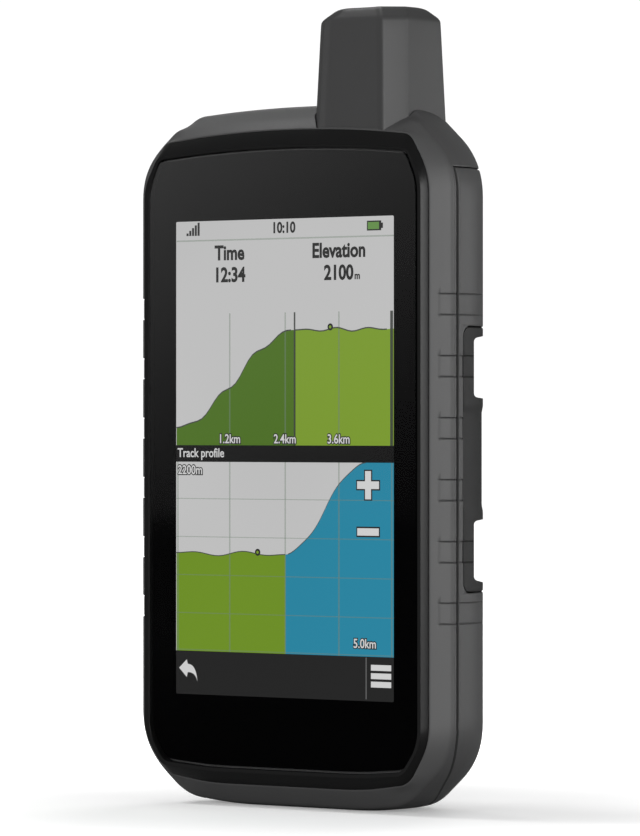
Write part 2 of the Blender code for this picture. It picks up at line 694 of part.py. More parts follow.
def make_pack_contents():
    tray = slab("pack_tray", outline(BODY, Inset(7.2, 8.0, 7.6)), -0.7, 0.5)
    cut(tray, box("tray_top", (-60.0, -20.0, PACK_TOP_Z - 2.2), (60.0, 20.0, 200.0)))
    paint(cut(tray, disc("tray_hole", 0.0, LATCH_Z, 4.4, -4.0, 4.0)), DARK, 0.6)
    seal = slab("pack_seal", outline(BODY, SEAL_OUTER), -1.8, -1.0)
    cut(seal, slab("pack_seal_inner", outline(BODY, shrunk(SEAL_OUTER, 1.3)), -4.0, 2.0))
    cut(seal, box("pack_seal_top", (-60.0, -20.0, PACK_TOP_Z - 4.0), (60.0, 20.0, 200.0)))
    cross = box("pack_seal_cross", (-38.4, -1.8, PACK_TOP_Z - 5.3), (38.4, -1.0, PACK_TOP_Z - 4.0))
    boolean(seal, "UNION", cross)
    paint(seal, BLACK, 0.8)
    left = box("battery_cell_left", (-30.8, 0.9, 46.0), (-0.6, 10.2, 122.0))
    right = box("battery_cell_right", (0.6, 0.9, 46.0), (30.8, 10.2, 122.0))
    guard = box("protection_board", (-24.0, 0.9, 125.0), (24.0, 1.8, 138.0))
    paint(left, (0.1, 0.2, 0.5), 0.4)
    paint(right, (0.1, 0.2, 0.5), 0.4)
    paint(guard, BOARD, 0.5)
    dock = box("dock_contact_plate", (-14.0, BACK_Y - 0.7, 126.0), (14.0, BACK_Y - 0.2, 133.0))
    paint(dock, GOLD, 0.35, 0.8)
    return [tray, seal, left, right, guard, dock]


def make_spine():
    low = BACK_Y + GAP
    neck = low + 1.5
    plan = (
        (-6.0, low),
        (6.0, low),
        (6.0, neck),
        (9.0, neck + 0.5),
        (9.0, SPINE_BACK_Y - 0.8),
        (8.2, SPINE_BACK_Y),
        (-8.2, SPINE_BACK_Y),
        (-9.0, SPINE_BACK_Y - 0.8),
        (-9.0, neck + 0.5),
        (-6.0, neck),
    )
    spine = column("mount_spine", plan, 58.0, 112.0)
    pieces = [spine]
    for index, z in enumerate(SPINE_SCREWS_Z):
        cut(spine, disc(f"spine_hole_{index}", 0.0, z, 1.5, 10.0, 20.0, 12))
        cut(spine, disc(f"spine_seat_{index}", 0.0, z, 2.8, SPINE_BACK_Y - 1.7, 20.0, 16))
        head_y = SPINE_BACK_Y - 1.4
        profile = ((1.2, 10.9), (1.2, head_y), (2.4, head_y), (2.4, SPINE_BACK_Y - 0.3))
        screw = turned(f"spine_screw_{index + 1}", 0.0, z, profile, 12)
        cut(screw, disc(f"spine_drive_{index}", 0.0, z, 1.0, SPINE_BACK_Y - 1.0, 20.0, 6))
        pieces.append(paint(screw, STEEL, 0.3, 0.9))
    paint(spine, DARK, 0.55)
    return pieces


def make_latch():
    """The quarter-turn stud, with the D-ring that turns it hung on a pin through its head."""
    profile = ((2.9, -6.6), (2.9, POCKET_FLOOR_Y + GAP), (6.5, POCKET_FLOOR_Y + GAP), (6.5, 11.6))
    stud = turned("latch_stud", 0.0, LATCH_Z, profile)
    cut(stud, rod_along_x("stud_bore", RING_PIN_Y, LATCH_Z, 0.95, -9.0, 9.0))
    paint(stud, STEEL, 0.3, 0.9)
    pin = rod_along_x("d_ring_pin", RING_PIN_Y, LATCH_Z, 0.8, -10.9, 10.9)
    paint(pin, STEEL, 0.25, 0.9)
    major = 3.95
    rings = []
    for step in range(20):
        turn = 2 * math.pi * step / 20
        section = circle(0.55, 6, (major, 7.45))
        rings.append([(r * math.cos(turn), y, LATCH_Z + r * math.sin(turn)) for r, y in section])
    seal = paint(loft("latch_o_ring", rings, closed=True), BLACK, 0.7)
    outer, inner, top = 11.6, 8.0, 1.3
    arc = [math.pi + math.pi * step / 16 for step in range(17)]
    plan = [(outer * math.cos(t), LATCH_Z + outer * math.sin(t)) for t in arc]
    plan += [(outer, LATCH_Z + top), (inner, LATCH_Z + top)]
    plan += [(inner * math.cos(t), LATCH_Z + inner * math.sin(t)) for t in reversed(arc)]
    plan += [(-inner, LATCH_Z + top), (-outer, LATCH_Z + top)]
    ring = slab("d_ring", plan, RING_PIN_Y - 1.0, RING_PIN_Y + 1.0)
    cut(ring, rod_along_x("ring_bore", RING_PIN_Y, LATCH_Z, 0.95, -20.0, 20.0))
    paint(ring, STEEL, 0.3, 0.9)
    stud_axis = pivot("latch_stud_axis", (0.0, POCKET_FLOOR_Y, LATCH_Z), stud, pin, seal)
    nest(pivot("d_ring_axis", (0.0, RING_PIN_Y, LATCH_Z), ring), stud_axis)
    return stud_axis


def main():
    clear_scene()
    bands = band_cutter()
    make_bezel_ring()
    make_glass_stack()
    make_electronics()
    make_antenna()
    make_power_button()
    make_ports()
    make_speaker()
    make_front_housing(bands)
    make_chassis()
    make_card()
    pack = [make_pack_case(bands), *make_pack_contents(), *make_spine()]
    make_rails(bands)
    pack += [bpy.data.objects["side_rail_left"], bpy.data.objects["side_rail_right"]]
    pack_axis = pivot("battery_pack_axis", (0.0, BACK_Y, 79.0), *pack)
    nest(make_latch(), pack_axis)


main()
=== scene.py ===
"""The looks of a handheld GPS unit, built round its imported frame.

The screen faces -Y, +X is the viewer's right and +Z is up. Lengths are in millimetres, and MM
turns them into metres. Outlines are symmetric about x = 0 and lie in X and Z.
"""

import math
from collections import namedtuple

import bmesh
import bpy
import numpy as np
from mathutils import Matrix, Vector


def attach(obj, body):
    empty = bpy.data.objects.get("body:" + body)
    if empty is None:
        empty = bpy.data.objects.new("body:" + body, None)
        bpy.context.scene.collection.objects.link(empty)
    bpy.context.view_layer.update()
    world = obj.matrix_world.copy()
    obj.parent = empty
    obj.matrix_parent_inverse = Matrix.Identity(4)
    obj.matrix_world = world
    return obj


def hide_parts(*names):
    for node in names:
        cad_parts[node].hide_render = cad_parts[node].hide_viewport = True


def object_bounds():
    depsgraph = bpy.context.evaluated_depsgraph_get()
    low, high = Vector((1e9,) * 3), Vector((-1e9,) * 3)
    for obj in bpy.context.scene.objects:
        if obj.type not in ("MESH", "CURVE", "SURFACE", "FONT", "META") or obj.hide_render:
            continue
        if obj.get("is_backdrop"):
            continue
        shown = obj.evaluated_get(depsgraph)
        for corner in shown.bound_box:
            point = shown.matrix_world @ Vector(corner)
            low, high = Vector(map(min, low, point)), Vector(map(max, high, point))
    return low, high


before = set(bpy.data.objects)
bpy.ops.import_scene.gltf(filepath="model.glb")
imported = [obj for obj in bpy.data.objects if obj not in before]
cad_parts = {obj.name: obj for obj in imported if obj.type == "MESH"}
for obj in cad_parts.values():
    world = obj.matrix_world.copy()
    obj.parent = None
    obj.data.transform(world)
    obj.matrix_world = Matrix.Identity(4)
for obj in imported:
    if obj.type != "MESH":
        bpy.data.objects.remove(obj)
cad_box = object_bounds()

MM = 0.001

# An outline's corners are straight cuts from (half_width, side) to end. Bends are the lengths that
# rounding takes off at each angle, from the low end round to the high end.
Outline = namedtuple("Outline", "half_width top high_side high_end bottom low_side low_end bends")
Inset = namedtuple("Inset", "side cut end")
NO_INSET = Inset(0.0, 0.0, 0.0)

BODY = Outline(46.0, 158.8, 145.2, (31.9, 157.5), 0.0, 13.1, (32.0, 1.2), (6.0, 8.0, 8.0, 1.8))
RING_OUTER = Outline(41.5, 153.1, 142.4, (36.2, 151.1), 5.1, 16.0, (35.9, 6.9), (3.0, 4.0, 5.0, 2.0))
RING_CREST = Outline(40.8, 149.5, 141.2, (36.9, 147.9), 7.8, 15.8, (35.7, 8.8), (2.2, 3.6, 3.2, 1.6))
GLASS = Outline(39.3, 148.7, 140.4, (36.3, 147.0), 9.0, 15.9, (35.1, 10.0), (2.0, 3.5, 3.0, 1.5))
BEND_STEPS = 12
BOW_STEPS = 12
FOOT_FRACTION = 0.45
GAP = 0.3

# Depths along Y, front to back.
CREST_Y = -16.2
GLASS_Y = (-16.0, -15.0)
RING_FOOT_Y = -13.9
LEDGE_Y = (-13.6, -11.6)
FRONT_EDGE_Y = -14.2
CHAMFER_END_Y = -11.1
SEAM_Y = (-9.8, -8.9)
FULL_Y = -7.5
END_CURVE_Y = 5.0
BACK_Y = 12.5
SPINE_BACK_Y = 16.2

CHAMFER_TOP = Inset(0.0, 0.0, 3.1)
CHAMFER_BOTTOM = Inset(0.0, 0.0, 0.6)
SIDE_RADIUS = BACK_Y - FULL_Y
TOP_DROP = 4.6
FOOT_DROP = 1.2
CUT_SHARES = (0.6, 0.5)

CAVITY = Inset(4.2, 4.4, 5.6)
SEAM_Z = (143.6, 143.9)
# Below this height the side seam curves back, and it reaches the foot this much further back.
SEAM_BEND_Z = 19.0
SEAM_SWEEP = 11.0
HEAD_FLOOR_TOP_Z = 145.3
SEAT_GAP = 0.07
LIP = 0.32

# The grip bands: shallow pads with a fine line round them.
BAND_CENTRES = (44.9, 58.5, 72.2, 85.9, 99.6, 113.3)
BAND_HALF = 2.45
BAND_Y = (-13.2, 4.0)
BAND_REACH = (-0.08, 0.0, 0.16, 0.34, 0.5)
BAND_DEPTHS = (0.0, 0.1, 0.38, 0.2, 0.2)

# The side rails and their notches.
NOTCH_ANGLE = math.radians(38.4)
NOTCH_REACH = 33.7
RAIL_REACH = 32.5
CELL_BAY_REACH = 31.0
RAIL_X = 44.4
RAIL_Y = (-7.4, 6.9)
RAIL_Z = (49.6, 108.3)
NOTCHES_Z = ((51.3, 65.7), (92.4, 106.6))

# The antenna stub.
STUB_X = 18.8
STUB_Y = -3.25
STUB_HALF = (13.6, 10.95)
STUB_CUT = 4.1
STUB_FOOT_Z = 150.3
STUB_TOP_Z = 180.3
STUB_WALL = 1.6

LEDGE_OPENING = ((-35.0, 17.0), (35.0, 141.0))
ACTIVE_X = (-32.2, 32.2)
ACTIVE_Z = (25.1, 133.1)

LATCH_Z = 24.0
POCKET_RADIUS = 12.5
POCKET_FLOOR_Y = 8.0
RING_PIN_Y = 10.0
SPINE_SCREWS_Z = (66.0, 104.0)
SHOULDER_RUN = BODY.half_width - BODY.high_end[0]
SHOULDER_RISE = BODY.high_end[1] - BODY.high_side
BUTTON_X = -36.0
BUTTON_Z = BODY.high_side + (BODY.half_width + BUTTON_X) * SHOULDER_RISE / SHOULDER_RUN
BUTTON_Y = (-6.4, -0.9)
CAP_Z = (145.6, 151.4)
CAP_THICKNESS = 1.2
CAP_HINGE_Z = 151.7
USB_CAP_X = (-19.6, -7.0)
PORT_CAP_X = (-4.7, 2.7)


# Meshes


def solid(name, points, faces):
    """A closed mesh from points in millimetres, with its faces turned outwards."""
    shape = bmesh.new()
    corners = [shape.verts.new(Vector(point) * MM) for point in points]
    for face in faces:
        shape.faces.new([corners[index] for index in face])
    bmesh.ops.recalc_face_normals(shape, faces=shape.faces)
    mesh = bpy.data.meshes.new(name)
    shape.to_mesh(mesh)
    shape.free()
    piece = bpy.data.objects.new(name, mesh)
    bpy.context.scene.collection.objects.link(piece)
    return piece


def loft(name, rings, closed=False):
    """Joins rings of equal length in turn, then caps both ends or joins the last to the first."""
    size = len(rings[0])
    points = [point for ring in rings for point in ring]
    faces = []
    spans = len(rings) if closed else len(rings) - 1
    for span in range(spans):
        low = span * size
        high = (span + 1) % len(rings) * size
        for step in range(size):
            after = (step + 1) % size
            faces.append((low + step, low + after, high + after, high + step))
    if not closed:
        faces.append(tuple(range(size)))
        faces.append(tuple(range((len(rings) - 1) * size, len(rings) * size)))
    return solid(name, points, faces)


def slab(name, plan, low_y, high_y):
    """A plan in X and Z, extruded along Y."""
    return loft(name, [[(x, y, z) for x, z in plan] for y in (low_y, high_y)])


def column(name, plan, low_z, high_z):
    """A plan in X and Y, extruded along Z."""
    return loft(name, [[(x, y, z) for x, y in plan] for z in (low_z, high_z)])


def bar(name, plan, low_x, high_x):
    """A plan in Y and Z, extruded along X."""
    return loft(name, [[(x, y, z) for y, z in plan] for x in (low_x, high_x)])


def box(name, low, high):
    (x0, y0, z0), (x1, y1, z1) = low, high
    return column(name, ((x0, y0), (x1, y0), (x1, y1), (x0, y1)), z0, z1)


def circle(radius, sides, centre=(0.0, 0.0)):
    turns = [2 * math.pi * step / sides for step in range(sides)]
    return [(centre[0] + radius * math.cos(t), centre[1] + radius * math.sin(t)) for t in turns]


def disc(name, x, z, radius, low_y, high_y, sides=48):
    return slab(name, circle(radius, sides, (x, z)), low_y, high_y)


def turned(name, x, z, profile, sides=64):
    """A solid of revolution about a line along Y, from (radius, y) pairs."""
    return loft(name, [[(px, y, pz) for px, pz in circle(r, sides, (x, z))] for r, y in profile])


def rod_along_x(name, y, z, radius, low_x, high_x, sides=32):
    return bar(name, circle(radius, sides, (y, z)), low_x, high_x)


def rounded(low, high, radius, steps=5):
    """A rectangle's plan with rounded corners."""
    (x0, z0), (x1, z1) = low, high
    corners = ((x1, z1, 0), (x0, z1, 1), (x0, z0, 2), (x1, z0, 3))
    plan = []
    for x, z, quarter in corners:
        centre_x = x + (-radius if quarter in (0, 3) else radius)
        centre_z = z + (-radius if quarter in (0, 1) else radius)
        for step in range(steps + 1):
            turn = math.pi / 2 * (quarter + step / steps)
            plan.append((centre_x + radius * math.cos(turn), centre_z + radius * math.sin(turn)))
    return plan


def bake(piece):
    """Replaces the mesh by what its modifiers make of it, and removes them and their cutters."""
    helpers = [m.object for m in piece.modifiers if m.type == "BOOLEAN"]
    evaluated = piece.evaluated_get(bpy.context.evaluated_depsgraph_get())
    mesh = bpy.data.meshes.new_from_object(evaluated)
    piece.modifiers.clear()
    piece.data = mesh
    for helper in helpers:
        bpy.data.objects.remove(helper)
    return piece


def boolean(target, operation, *others):
    for other in others:
        modifier = target.modifiers.new(f"{operation.lower()}_{other.name}", "BOOLEAN")
        modifier.operation = operation
        modifier.object = other
        modifier.solver = "MANIFOLD"
    return bake(target)


def cut(target, *cutters):
    return boolean(target, "DIFFERENCE", *cutters)


def soften(piece, width, segments=3, angle=35.0):
    """Rounds the edges sharper than angle."""
    modifier = piece.modifiers.new("soft_edges", "BEVEL")
    modifier.width = width * MM
    modifier.segments = segments
    modifier.limit_method = "ANGLE"
    modifier.angle_limit = math.radians(angle)
    modifier.harden_normals = True
    return piece


def finish(piece, material, body, slot, *stands_for, sharp=35.0):
    """Shades, paints and places a finished piece on its body."""
    piece.data.materials.clear()
    piece.data.materials.append(material)
    piece.data.shade_smooth()
    piece.data.set_sharp_from_angle(angle=math.radians(sharp))
    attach(piece, body)
    if stands_for:
        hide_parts(*stands_for)
    return piece


# Outlines


def cut_corner(half_width, side, end, inset):
    """Both ends of a cut corner, once its side, cut and end edges have moved inwards."""
    end_x, end_z = end
    away = math.copysign(1.0, end_z - side)
    run = half_width - end_x
    rise = abs(end_z - side)
    normal_x = rise / math.hypot(run, rise)
    normal_z = run / math.hypot(run, rise)
    reach = normal_x * half_width + normal_z * away * side - inset.cut
    new_x = half_width - inset.side
    new_z = end_z - away * inset.end
    side_point = (new_x, away * (reach - normal_x * new_x) / normal_z)
    end_point = ((reach - normal_z * away * new_z) / normal_x, new_z)
    return side_point, end_point


def curve(start, corner, stop, steps):
    """A quadratic curve from start to stop, pulled towards corner."""
    points = []
    for step in range(steps + 1):
        t = step / steps
        points.append(start * (1 - t) ** 2 + corner * 2 * t * (1 - t) + stop * t**2)
    return points


def bend(before, corner, after, setback):
    before, corner, after = Vector(before), Vector(corner), Vector(after)
    room = min((before - corner).length, (after - corner).length)
    setback = min(setback, 0.45 * room)
    start = corner + (before - corner).normalized() * setback
    stop = corner + (after - corner).normalized() * setback
    return [tuple(point) for point in curve(start, corner, stop, BEND_STEPS)]


def bow(middle, end, flat):
    """Points from x = 0 towards end, level over the flat share and then curving to it."""
    points = []
    for step in range(BOW_STEPS):
        fraction = 0.7 * step / (BOW_STEPS - 1)
        share = max(0.0, fraction - flat) / (1.0 - flat)
        points.append((end[0] * fraction, middle + (end[1] - middle) * share**2))
    return points


def half_outline(shape, inset=NO_INSET, low_inset=None):
    """The right half, from the bottom's middle to the top's middle."""
    low_inset = low_inset or inset
    low_side, low_end = cut_corner(shape.half_width, shape.low_side, shape.low_end, low_inset)
    high_side, high_end = cut_corner(shape.half_width, shape.high_side, shape.high_end, inset)
    bottom = bow(shape.bottom + low_inset.end, low_end, FOOT_FRACTION)
    top = bow(shape.top - inset.end, high_end, 0.0)
    turns = (bottom[-1], low_end, low_side, high_side, high_end, top[-1])
    half = list(bottom)
    for step, setback in enumerate(shape.bends):
        half += bend(*turns[step : step + 3], setback)
    half += reversed(top)
    return half


def mirrored(half):
    return list(half) + [(-x, z) for x, z in reversed(half[1:-1])]


def outline(shape, inset=NO_INSET, low_inset=None):
    """Points (x, z) once round, starting at the bottom's middle."""
    return mirrored(half_outline(shape, inset, low_inset))


def grown(shape, margin):
    return outline(shape, Inset(-margin, -margin, -margin))


def shrunk(inset, margin):
    return Inset(inset.side + margin, inset.cut + margin, inset.end + margin)


def end_inset(y, drop):
    share = min(1.0, max(0.0, (y - END_CURVE_Y) / (BACK_Y - END_CURVE_Y)))
    return drop * (1 - math.sqrt(1 - share**2))


def rear_insets(y, margin=0.0):
    """How far the skin's upper and lower halves have drawn in at depth y."""
    share = min(1.0, max(0.0, (y - FULL_Y) / SIDE_RADIUS))
    side = SIDE_RADIUS * (1 - math.sqrt(1 - share**2))
    drops = (end_inset(y, TOP_DROP), end_inset(y, FOOT_DROP))
    return [shrunk(Inset(side, side * cut, end), margin) for cut, end in zip(CUT_SHARES, drops)]


def body_outline(y, margin=0.0):
    return outline(BODY, *rear_insets(y, margin))


def seam_line(y, top_z):
    """The side seam's line in Y and Z, from top_z down past the foot."""
    line = [(y, top_z)]
    for step in range(15):
        line.append((y + SEAM_SWEEP * (step / 12) ** 2, SEAM_BEND_Z * (1 - step / 12)))
    return line


def seam_plan(y, top_z, far_y):
    """Everything on one side of the seam's line, as far as far_y."""
    line = seam_line(y, top_z)
    return line + [(far_y, line[-1][1]), (far_y, top_z)]


def level(points, y):
    return [(x, y, z) for x, z in points]


def slope_x(reach, y):
    """Where a plane square to the notch direction, this far out, meets depth y."""
    return (reach - math.sin(NOTCH_ANGLE) * y) / math.cos(NOTCH_ANGLE)


# The body's fine skin: a grid of depths by points round the outline, pressed in along its
# normals wherever there is a seam lip, a grip band or a rail.

LIP_STEPS = (0.0, 0.04, 0.1, 0.18, 0.26, LIP)


def spaced(values, low, high, least):
    """Sorted values between low and high, without any that crowd the one before."""
    kept = []
    for value in sorted(values):
        if low <= value <= high and (not kept or value - kept[-1] > least):
            kept.append(value)
    return kept


def side_rows():
    """Heights of the grid's rows up both sides."""
    rows = [SEAM_Z[0] - step for step in LIP_STEPS] + [SEAM_Z[1] + step for step in LIP_STEPS]
    rows.append(sum(SEAM_Z) / 2)
    for centre in BAND_CENTRES:
        for reach in BAND_REACH:
            rows += [centre - BAND_HALF + reach, centre + BAND_HALF - reach]
    for edge, way in ((RAIL_Z[0] - GAP, -1), (RAIL_Z[1] + GAP, 1)):
        rows += [edge + way * step for step in LIP_STEPS]
    fine = spaced(rows, 20.0, 149.0, 0.02)
    filler = [20.0 + 1.25 * step for step in range(104)]
    clear = [z for z in filler if min(abs(z - row) for row in fine) > 0.5]
    return np.array(sorted(fine + clear))


SIDE_ROWS = side_rows()
END_POINTS = 44


def stretch(points, count):
    """count points spread evenly along a polyline, without its last one."""
    steps = np.hypot(*np.diff(points, axis=0).T)
    along = np.concatenate(([0.0], np.cumsum(steps)))
    places = np.linspace(0.0, along[-1], count + 1)[:-1]
    return np.stack([np.interp(places, along, points[:, axis]) for axis in (0, 1)], axis=1)


def fine_ring(shape, inset=NO_INSET, low_inset=None):
    """The outline once round, with its sides' points on SIDE_ROWS."""
    half = np.array(half_outline(shape, inset, low_inset))
    rising = half[:, 1] + np.arange(len(half)) * 1e-7
    low_x, high_x = np.interp([SIDE_ROWS[0], SIDE_ROWS[-1]], rising, half[:, 0])
    below = np.vstack([half[half[:, 1] < SIDE_ROWS[0]], (low_x, SIDE_ROWS[0])])
    above = np.vstack([(high_x, SIDE_ROWS[-1]), half[half[:, 1] > SIDE_ROWS[-1]]])
    sides = np.stack([np.interp(SIDE_ROWS, rising, half[:, 0]), SIDE_ROWS], axis=1)
    top_middle = half[-1:]
    right = np.vstack([stretch(below, END_POINTS), sides[:-1], stretch(above, END_POINTS), top_middle])
    left = right[1:-1][::-1] * (-1.0, 1.0)
    return np.vstack([right, left])


def mixed(low, high, share):
    """A (ring, y) station part of the way between two others."""
    return low[0] + (high[0] - low[0]) * share, low[1] + (high[1] - low[1]) * share


def fillet(before, corner, after, steps):
    """Stations that round the corner between two straight runs of stations."""
    stations = []
    for step in range(steps + 1):
        t = step / steps
        weights = ((1 - t) ** 2, 2 * t * (1 - t), t**2)
        parts = (before, corner, after)
        ring = sum(weight * part[0] for weight, part in zip(weights, parts))
        stations.append((ring, sum(weight * part[1] for weight, part in zip(weights, parts))))
    return stations


def run(low, high, depths):
    """Stations at these depths on the straight run between two others."""
    return [mixed(low, high, (y - low[1]) / (high[1] - low[1])) for y in depths]


def rear_station(y):
    return fine_ring(BODY, *rear_insets(y)), y


def body_stations():
    rim = (fine_ring(RING_OUTER), FRONT_EDGE_Y)
    edge = (fine_ring(RING_OUTER, Inset(-GAP, -GAP, -GAP)), FRONT_EDGE_Y)
    knee = (fine_ring(BODY, CHAMFER_TOP, CHAMFER_BOTTOM), CHAMFER_END_Y)
    full = rear_station(FULL_Y)
    band_low = [BAND_Y[0] + reach for reach in BAND_REACH]
    band_high = [BAND_Y[1] - reach for reach in BAND_REACH]
    stations = [rim]
    stations += fillet(mixed(rim, edge, 0.55), edge, mixed(edge, knee, 0.07), 4)
    stations += run(edge, knee, band_low)
    stations += fillet(mixed(edge, knee, 0.78), knee, mixed(knee, full, 0.17), 5)
    seam = [SEAM_Y[0] - step for step in reversed(LIP_STEPS[:-1])]
    seam += [sum(SEAM_Y) / 2]
    seam += [SEAM_Y[1] + step for step in LIP_STEPS]
    stations += run(knee, full, [y for y in seam if y > stations[-1][1] + 0.03])
    stations += fillet(mixed(knee, full, 0.8), full, rear_station(FULL_Y + 1.0), 5)
    rear = [FULL_Y + SIDE_RADIUS * math.sin(math.radians(angle)) for angle in range(5, 90, 3)]
    rear += [BACK_Y - 0.01, BACK_Y]
    fine = spaced(band_high + [RAIL_Y[1] + GAP + step for step in LIP_STEPS], 0.0, BACK_Y, 0.02)
    clear = [y for y in rear if min(abs(y - other) for other in fine) > 0.35]
    stations += [rear_station(y) for y in sorted(fine + clear)]
    return stations


def lip(distance, radius=LIP):
    """How deep a rounded edge lies, this far from a gap."""
    near = np.clip(distance, 0.0, radius)
    return radius - np.sqrt(radius**2 - (radius - near) ** 2)


def seam_depth(y, z):
    """The housing and the pack are both rounded along their seam."""
    pack = np.minimum(y - SEAM_Y[1], SEAM_Z[0] - z)
    beyond_y = np.maximum(SEAM_Y[0] - y, 0.0)
    beyond_z = np.maximum(z - SEAM_Z[1], 0.0)
    housing = np.hypot(beyond_y, beyond_z)
    in_pack = (y > SEAM_Y[1] - 0.2) & (z < SEAM_Z[0] + 0.05)
    return lip(np.where(in_pack, pack, housing)) * np.clip(z - SEAM_BEND_Z, 0.0, 1.0)


def band_depth(y, z):
    """Lines along the pads' upper and lower edges, which fade at both ends and behind the seam."""
    share = np.clip(np.minimum(y - BAND_Y[0], BAND_Y[1] - y) / 0.6, 0.0, 1.0)
    share = share * np.where(y > SEAM_Y[0], 0.7, 1.0)
    deepest = np.zeros_like(y)
    for centre in BAND_CENTRES:
        inside = BAND_HALF - np.abs(z - centre)
        deepest = np.maximum(deepest, np.interp(inside, BAND_REACH, BAND_DEPTHS))
    return deepest * share


def rail_gap_depth(y, z):
    """The edge of the pack case round each rail."""
    beyond_y = np.maximum(RAIL_Y[0] - GAP - y, y - RAIL_Y[1] - GAP)
    beyond_z = np.maximum(RAIL_Z[0] - GAP - z, z - RAIL_Z[1] - GAP)
    outside = np.maximum(beyond_y, beyond_z)
    return np.where(outside >= 0, lip(outside, 0.2), 0.0)


def skin(name):
    stations = body_stations()
    grid = np.array([[(x, y, z) for x, z in ring] for ring, y in stations])
    along = np.gradient(grid, axis=0)
    around = np.roll(grid, -1, axis=1) - np.roll(grid, 1, axis=1)
    normal = np.cross(around, along)
    normal /= np.linalg.norm(normal, axis=2, keepdims=True)
    outward = np.sign((normal * (grid - grid.mean(axis=(0, 1)))).sum(axis=2).mean())
    y, z = grid[..., 1], grid[..., 2]
    depth = np.maximum(seam_depth(y, z), band_depth(y, z))
    depth = np.maximum(depth, rail_gap_depth(y, z))
    depth[0] = 0.0
    depth[-2:] = 0.0
    grid = grid - normal * outward * depth[..., None]
    return loft(name, grid.tolist())


# Procedural materials


def preset(node, **values):
    """Sets a node's inputs by name, with underscores for the spaces."""
    for name, value in values.items():
        node.inputs[name.replace("_", " ")].default_value = value


class Graph:
    """A node tree, with the few steps that the materials and the world repeat."""

    def __init__(self, tree):
        self.nodes = tree.nodes
        self.links = tree.links

    def add(self, kind, **values):
        node = self.nodes.new(f"ShaderNode{kind}")
        preset(node, **values)
        return node

    def feed(self, socket, value):
        if isinstance(value, bpy.types.NodeSocket):
            self.links.new(value, socket)
        else:
            socket.default_value = value

    def maths(self, operation, *values):
        node = self.add("Math")
        node.operation = operation
        for socket, value in zip(node.inputs, values):
            self.feed(socket, value)
        return node.outputs[0]

    def noise(self, scale, detail=3.0, roughness=0.5, stretched=None):
        """A noise value in object space, scale in cycles a metre."""
        texture = self.add("TexNoise", Scale=scale, Detail=detail, Roughness=roughness)
        source = self.add("TexCoord").outputs["Object"]
        if stretched:
            mapping = self.add("Mapping", Scale=stretched)
            self.links.new(source, mapping.inputs["Vector"])
            source = mapping.outputs["Vector"]
        self.links.new(source, texture.inputs["Vector"])
        return texture.outputs["Fac"]

    def mapped(self, value, low, high, start=0.25, stop=0.75, smooth=False):
        """Maps start to stop onto low to high. A noise value usually lies between 0.25 and 0.75."""
        node = self.add("MapRange", From_Min=start, From_Max=stop, To_Min=low, To_Max=high)
        if smooth:
            node.interpolation_type = "SMOOTHSTEP"
        self.links.new(value, node.inputs["Value"])
        return node.outputs["Result"]

    def tinted(self, colour, factor):
        node = self.add("VectorMath")
        node.operation = "SCALE"
        node.inputs[0].default_value = colour
        self.links.new(factor, node.inputs["Scale"])
        return node.outputs["Vector"]

    def grain(self, shader, height, distance):
        bump = self.add("Bump", Strength=1.0, Distance=distance * MM)
        self.links.new(height, bump.inputs["Height"])
        self.links.new(bump.outputs["Normal"], shader.inputs["Normal"])

    def mixed(self, share, first, second, output):
        """Blends two shaders into the tree's output."""
        mix = self.add("MixShader")
        self.feed(mix.inputs["Fac"], share)
        self.links.new(first.outputs[0], mix.inputs[1])
        self.links.new(second.outputs[0], mix.inputs[2])
        self.links.new(mix.outputs[0], self.nodes[output].inputs["Surface"])


def new_material(name):
    material = bpy.data.materials.new(name)
    material.use_nodes = True
    graph = Graph(material.node_tree)
    return material, graph, graph.nodes["Principled BSDF"]


def moulded(name, colour, roughness, grain_size=0.35, grain_depth=0.012, specular=0.5):
    """Moulded plastic or rubber: an eroded grain, with slight mottling in colour and gloss."""
    material, graph, shader = new_material(name)
    preset(shader, Specular_IOR_Level=specular)
    fine = graph.noise(1.0 / (grain_size * MM), 4.0, 0.6)
    broad = graph.noise(60.0, 2.0)
    shade = graph.maths("MULTIPLY", graph.mapped(fine, 0.94, 1.06), graph.mapped(broad, 0.97, 1.03))
    graph.links.new(graph.tinted(colour, shade), shader.inputs["Base Color"])
    graph.links.new(graph.mapped(fine, roughness - 0.05, roughness + 0.05), shader.inputs["Roughness"])
    graph.grain(shader, fine, grain_depth)
    return material


def brushed(name, colour, roughness):
    """Metal with a drawn grain along one axis."""
    material, graph, shader = new_material(name)
    preset(shader, Metallic=1.0)
    lines = graph.noise(900.0, 5.0, 0.7, (1.0, 14.0, 1.0))
    graph.links.new(graph.tinted(colour, graph.mapped(lines, 0.88, 1.08)), shader.inputs["Base Color"])
    graph.links.new(graph.mapped(lines, roughness - 0.08, roughness + 0.1), shader.inputs["Roughness"])
    graph.grain(shader, lines, 0.01)
    return material


def circuit(name):
    """Solder mask over copper tracks and pads."""
    material, graph, shader = new_material(name)
    preset(shader, Roughness=0.35)
    tracks = graph.add("TexBrick", Scale=260.0, Mortar_Size=0.03, Color1=(0.012, 0.075, 0.035, 1.0),
                       Color2=(0.016, 0.095, 0.045, 1.0), Mortar=(0.05, 0.22, 0.09, 1.0))
    turn = graph.add("Mapping", Rotation=(math.pi / 2, 0.0, 0.0))
    graph.links.new(graph.add("TexCoord").outputs["Object"], turn.inputs["Vector"])
    graph.links.new(turn.outputs["Vector"], tracks.inputs["Vector"])
    graph.links.new(tracks.outputs["Color"], shader.inputs["Base Color"])
    graph.grain(shader, tracks.outputs["Fac"], 0.03)
    return material


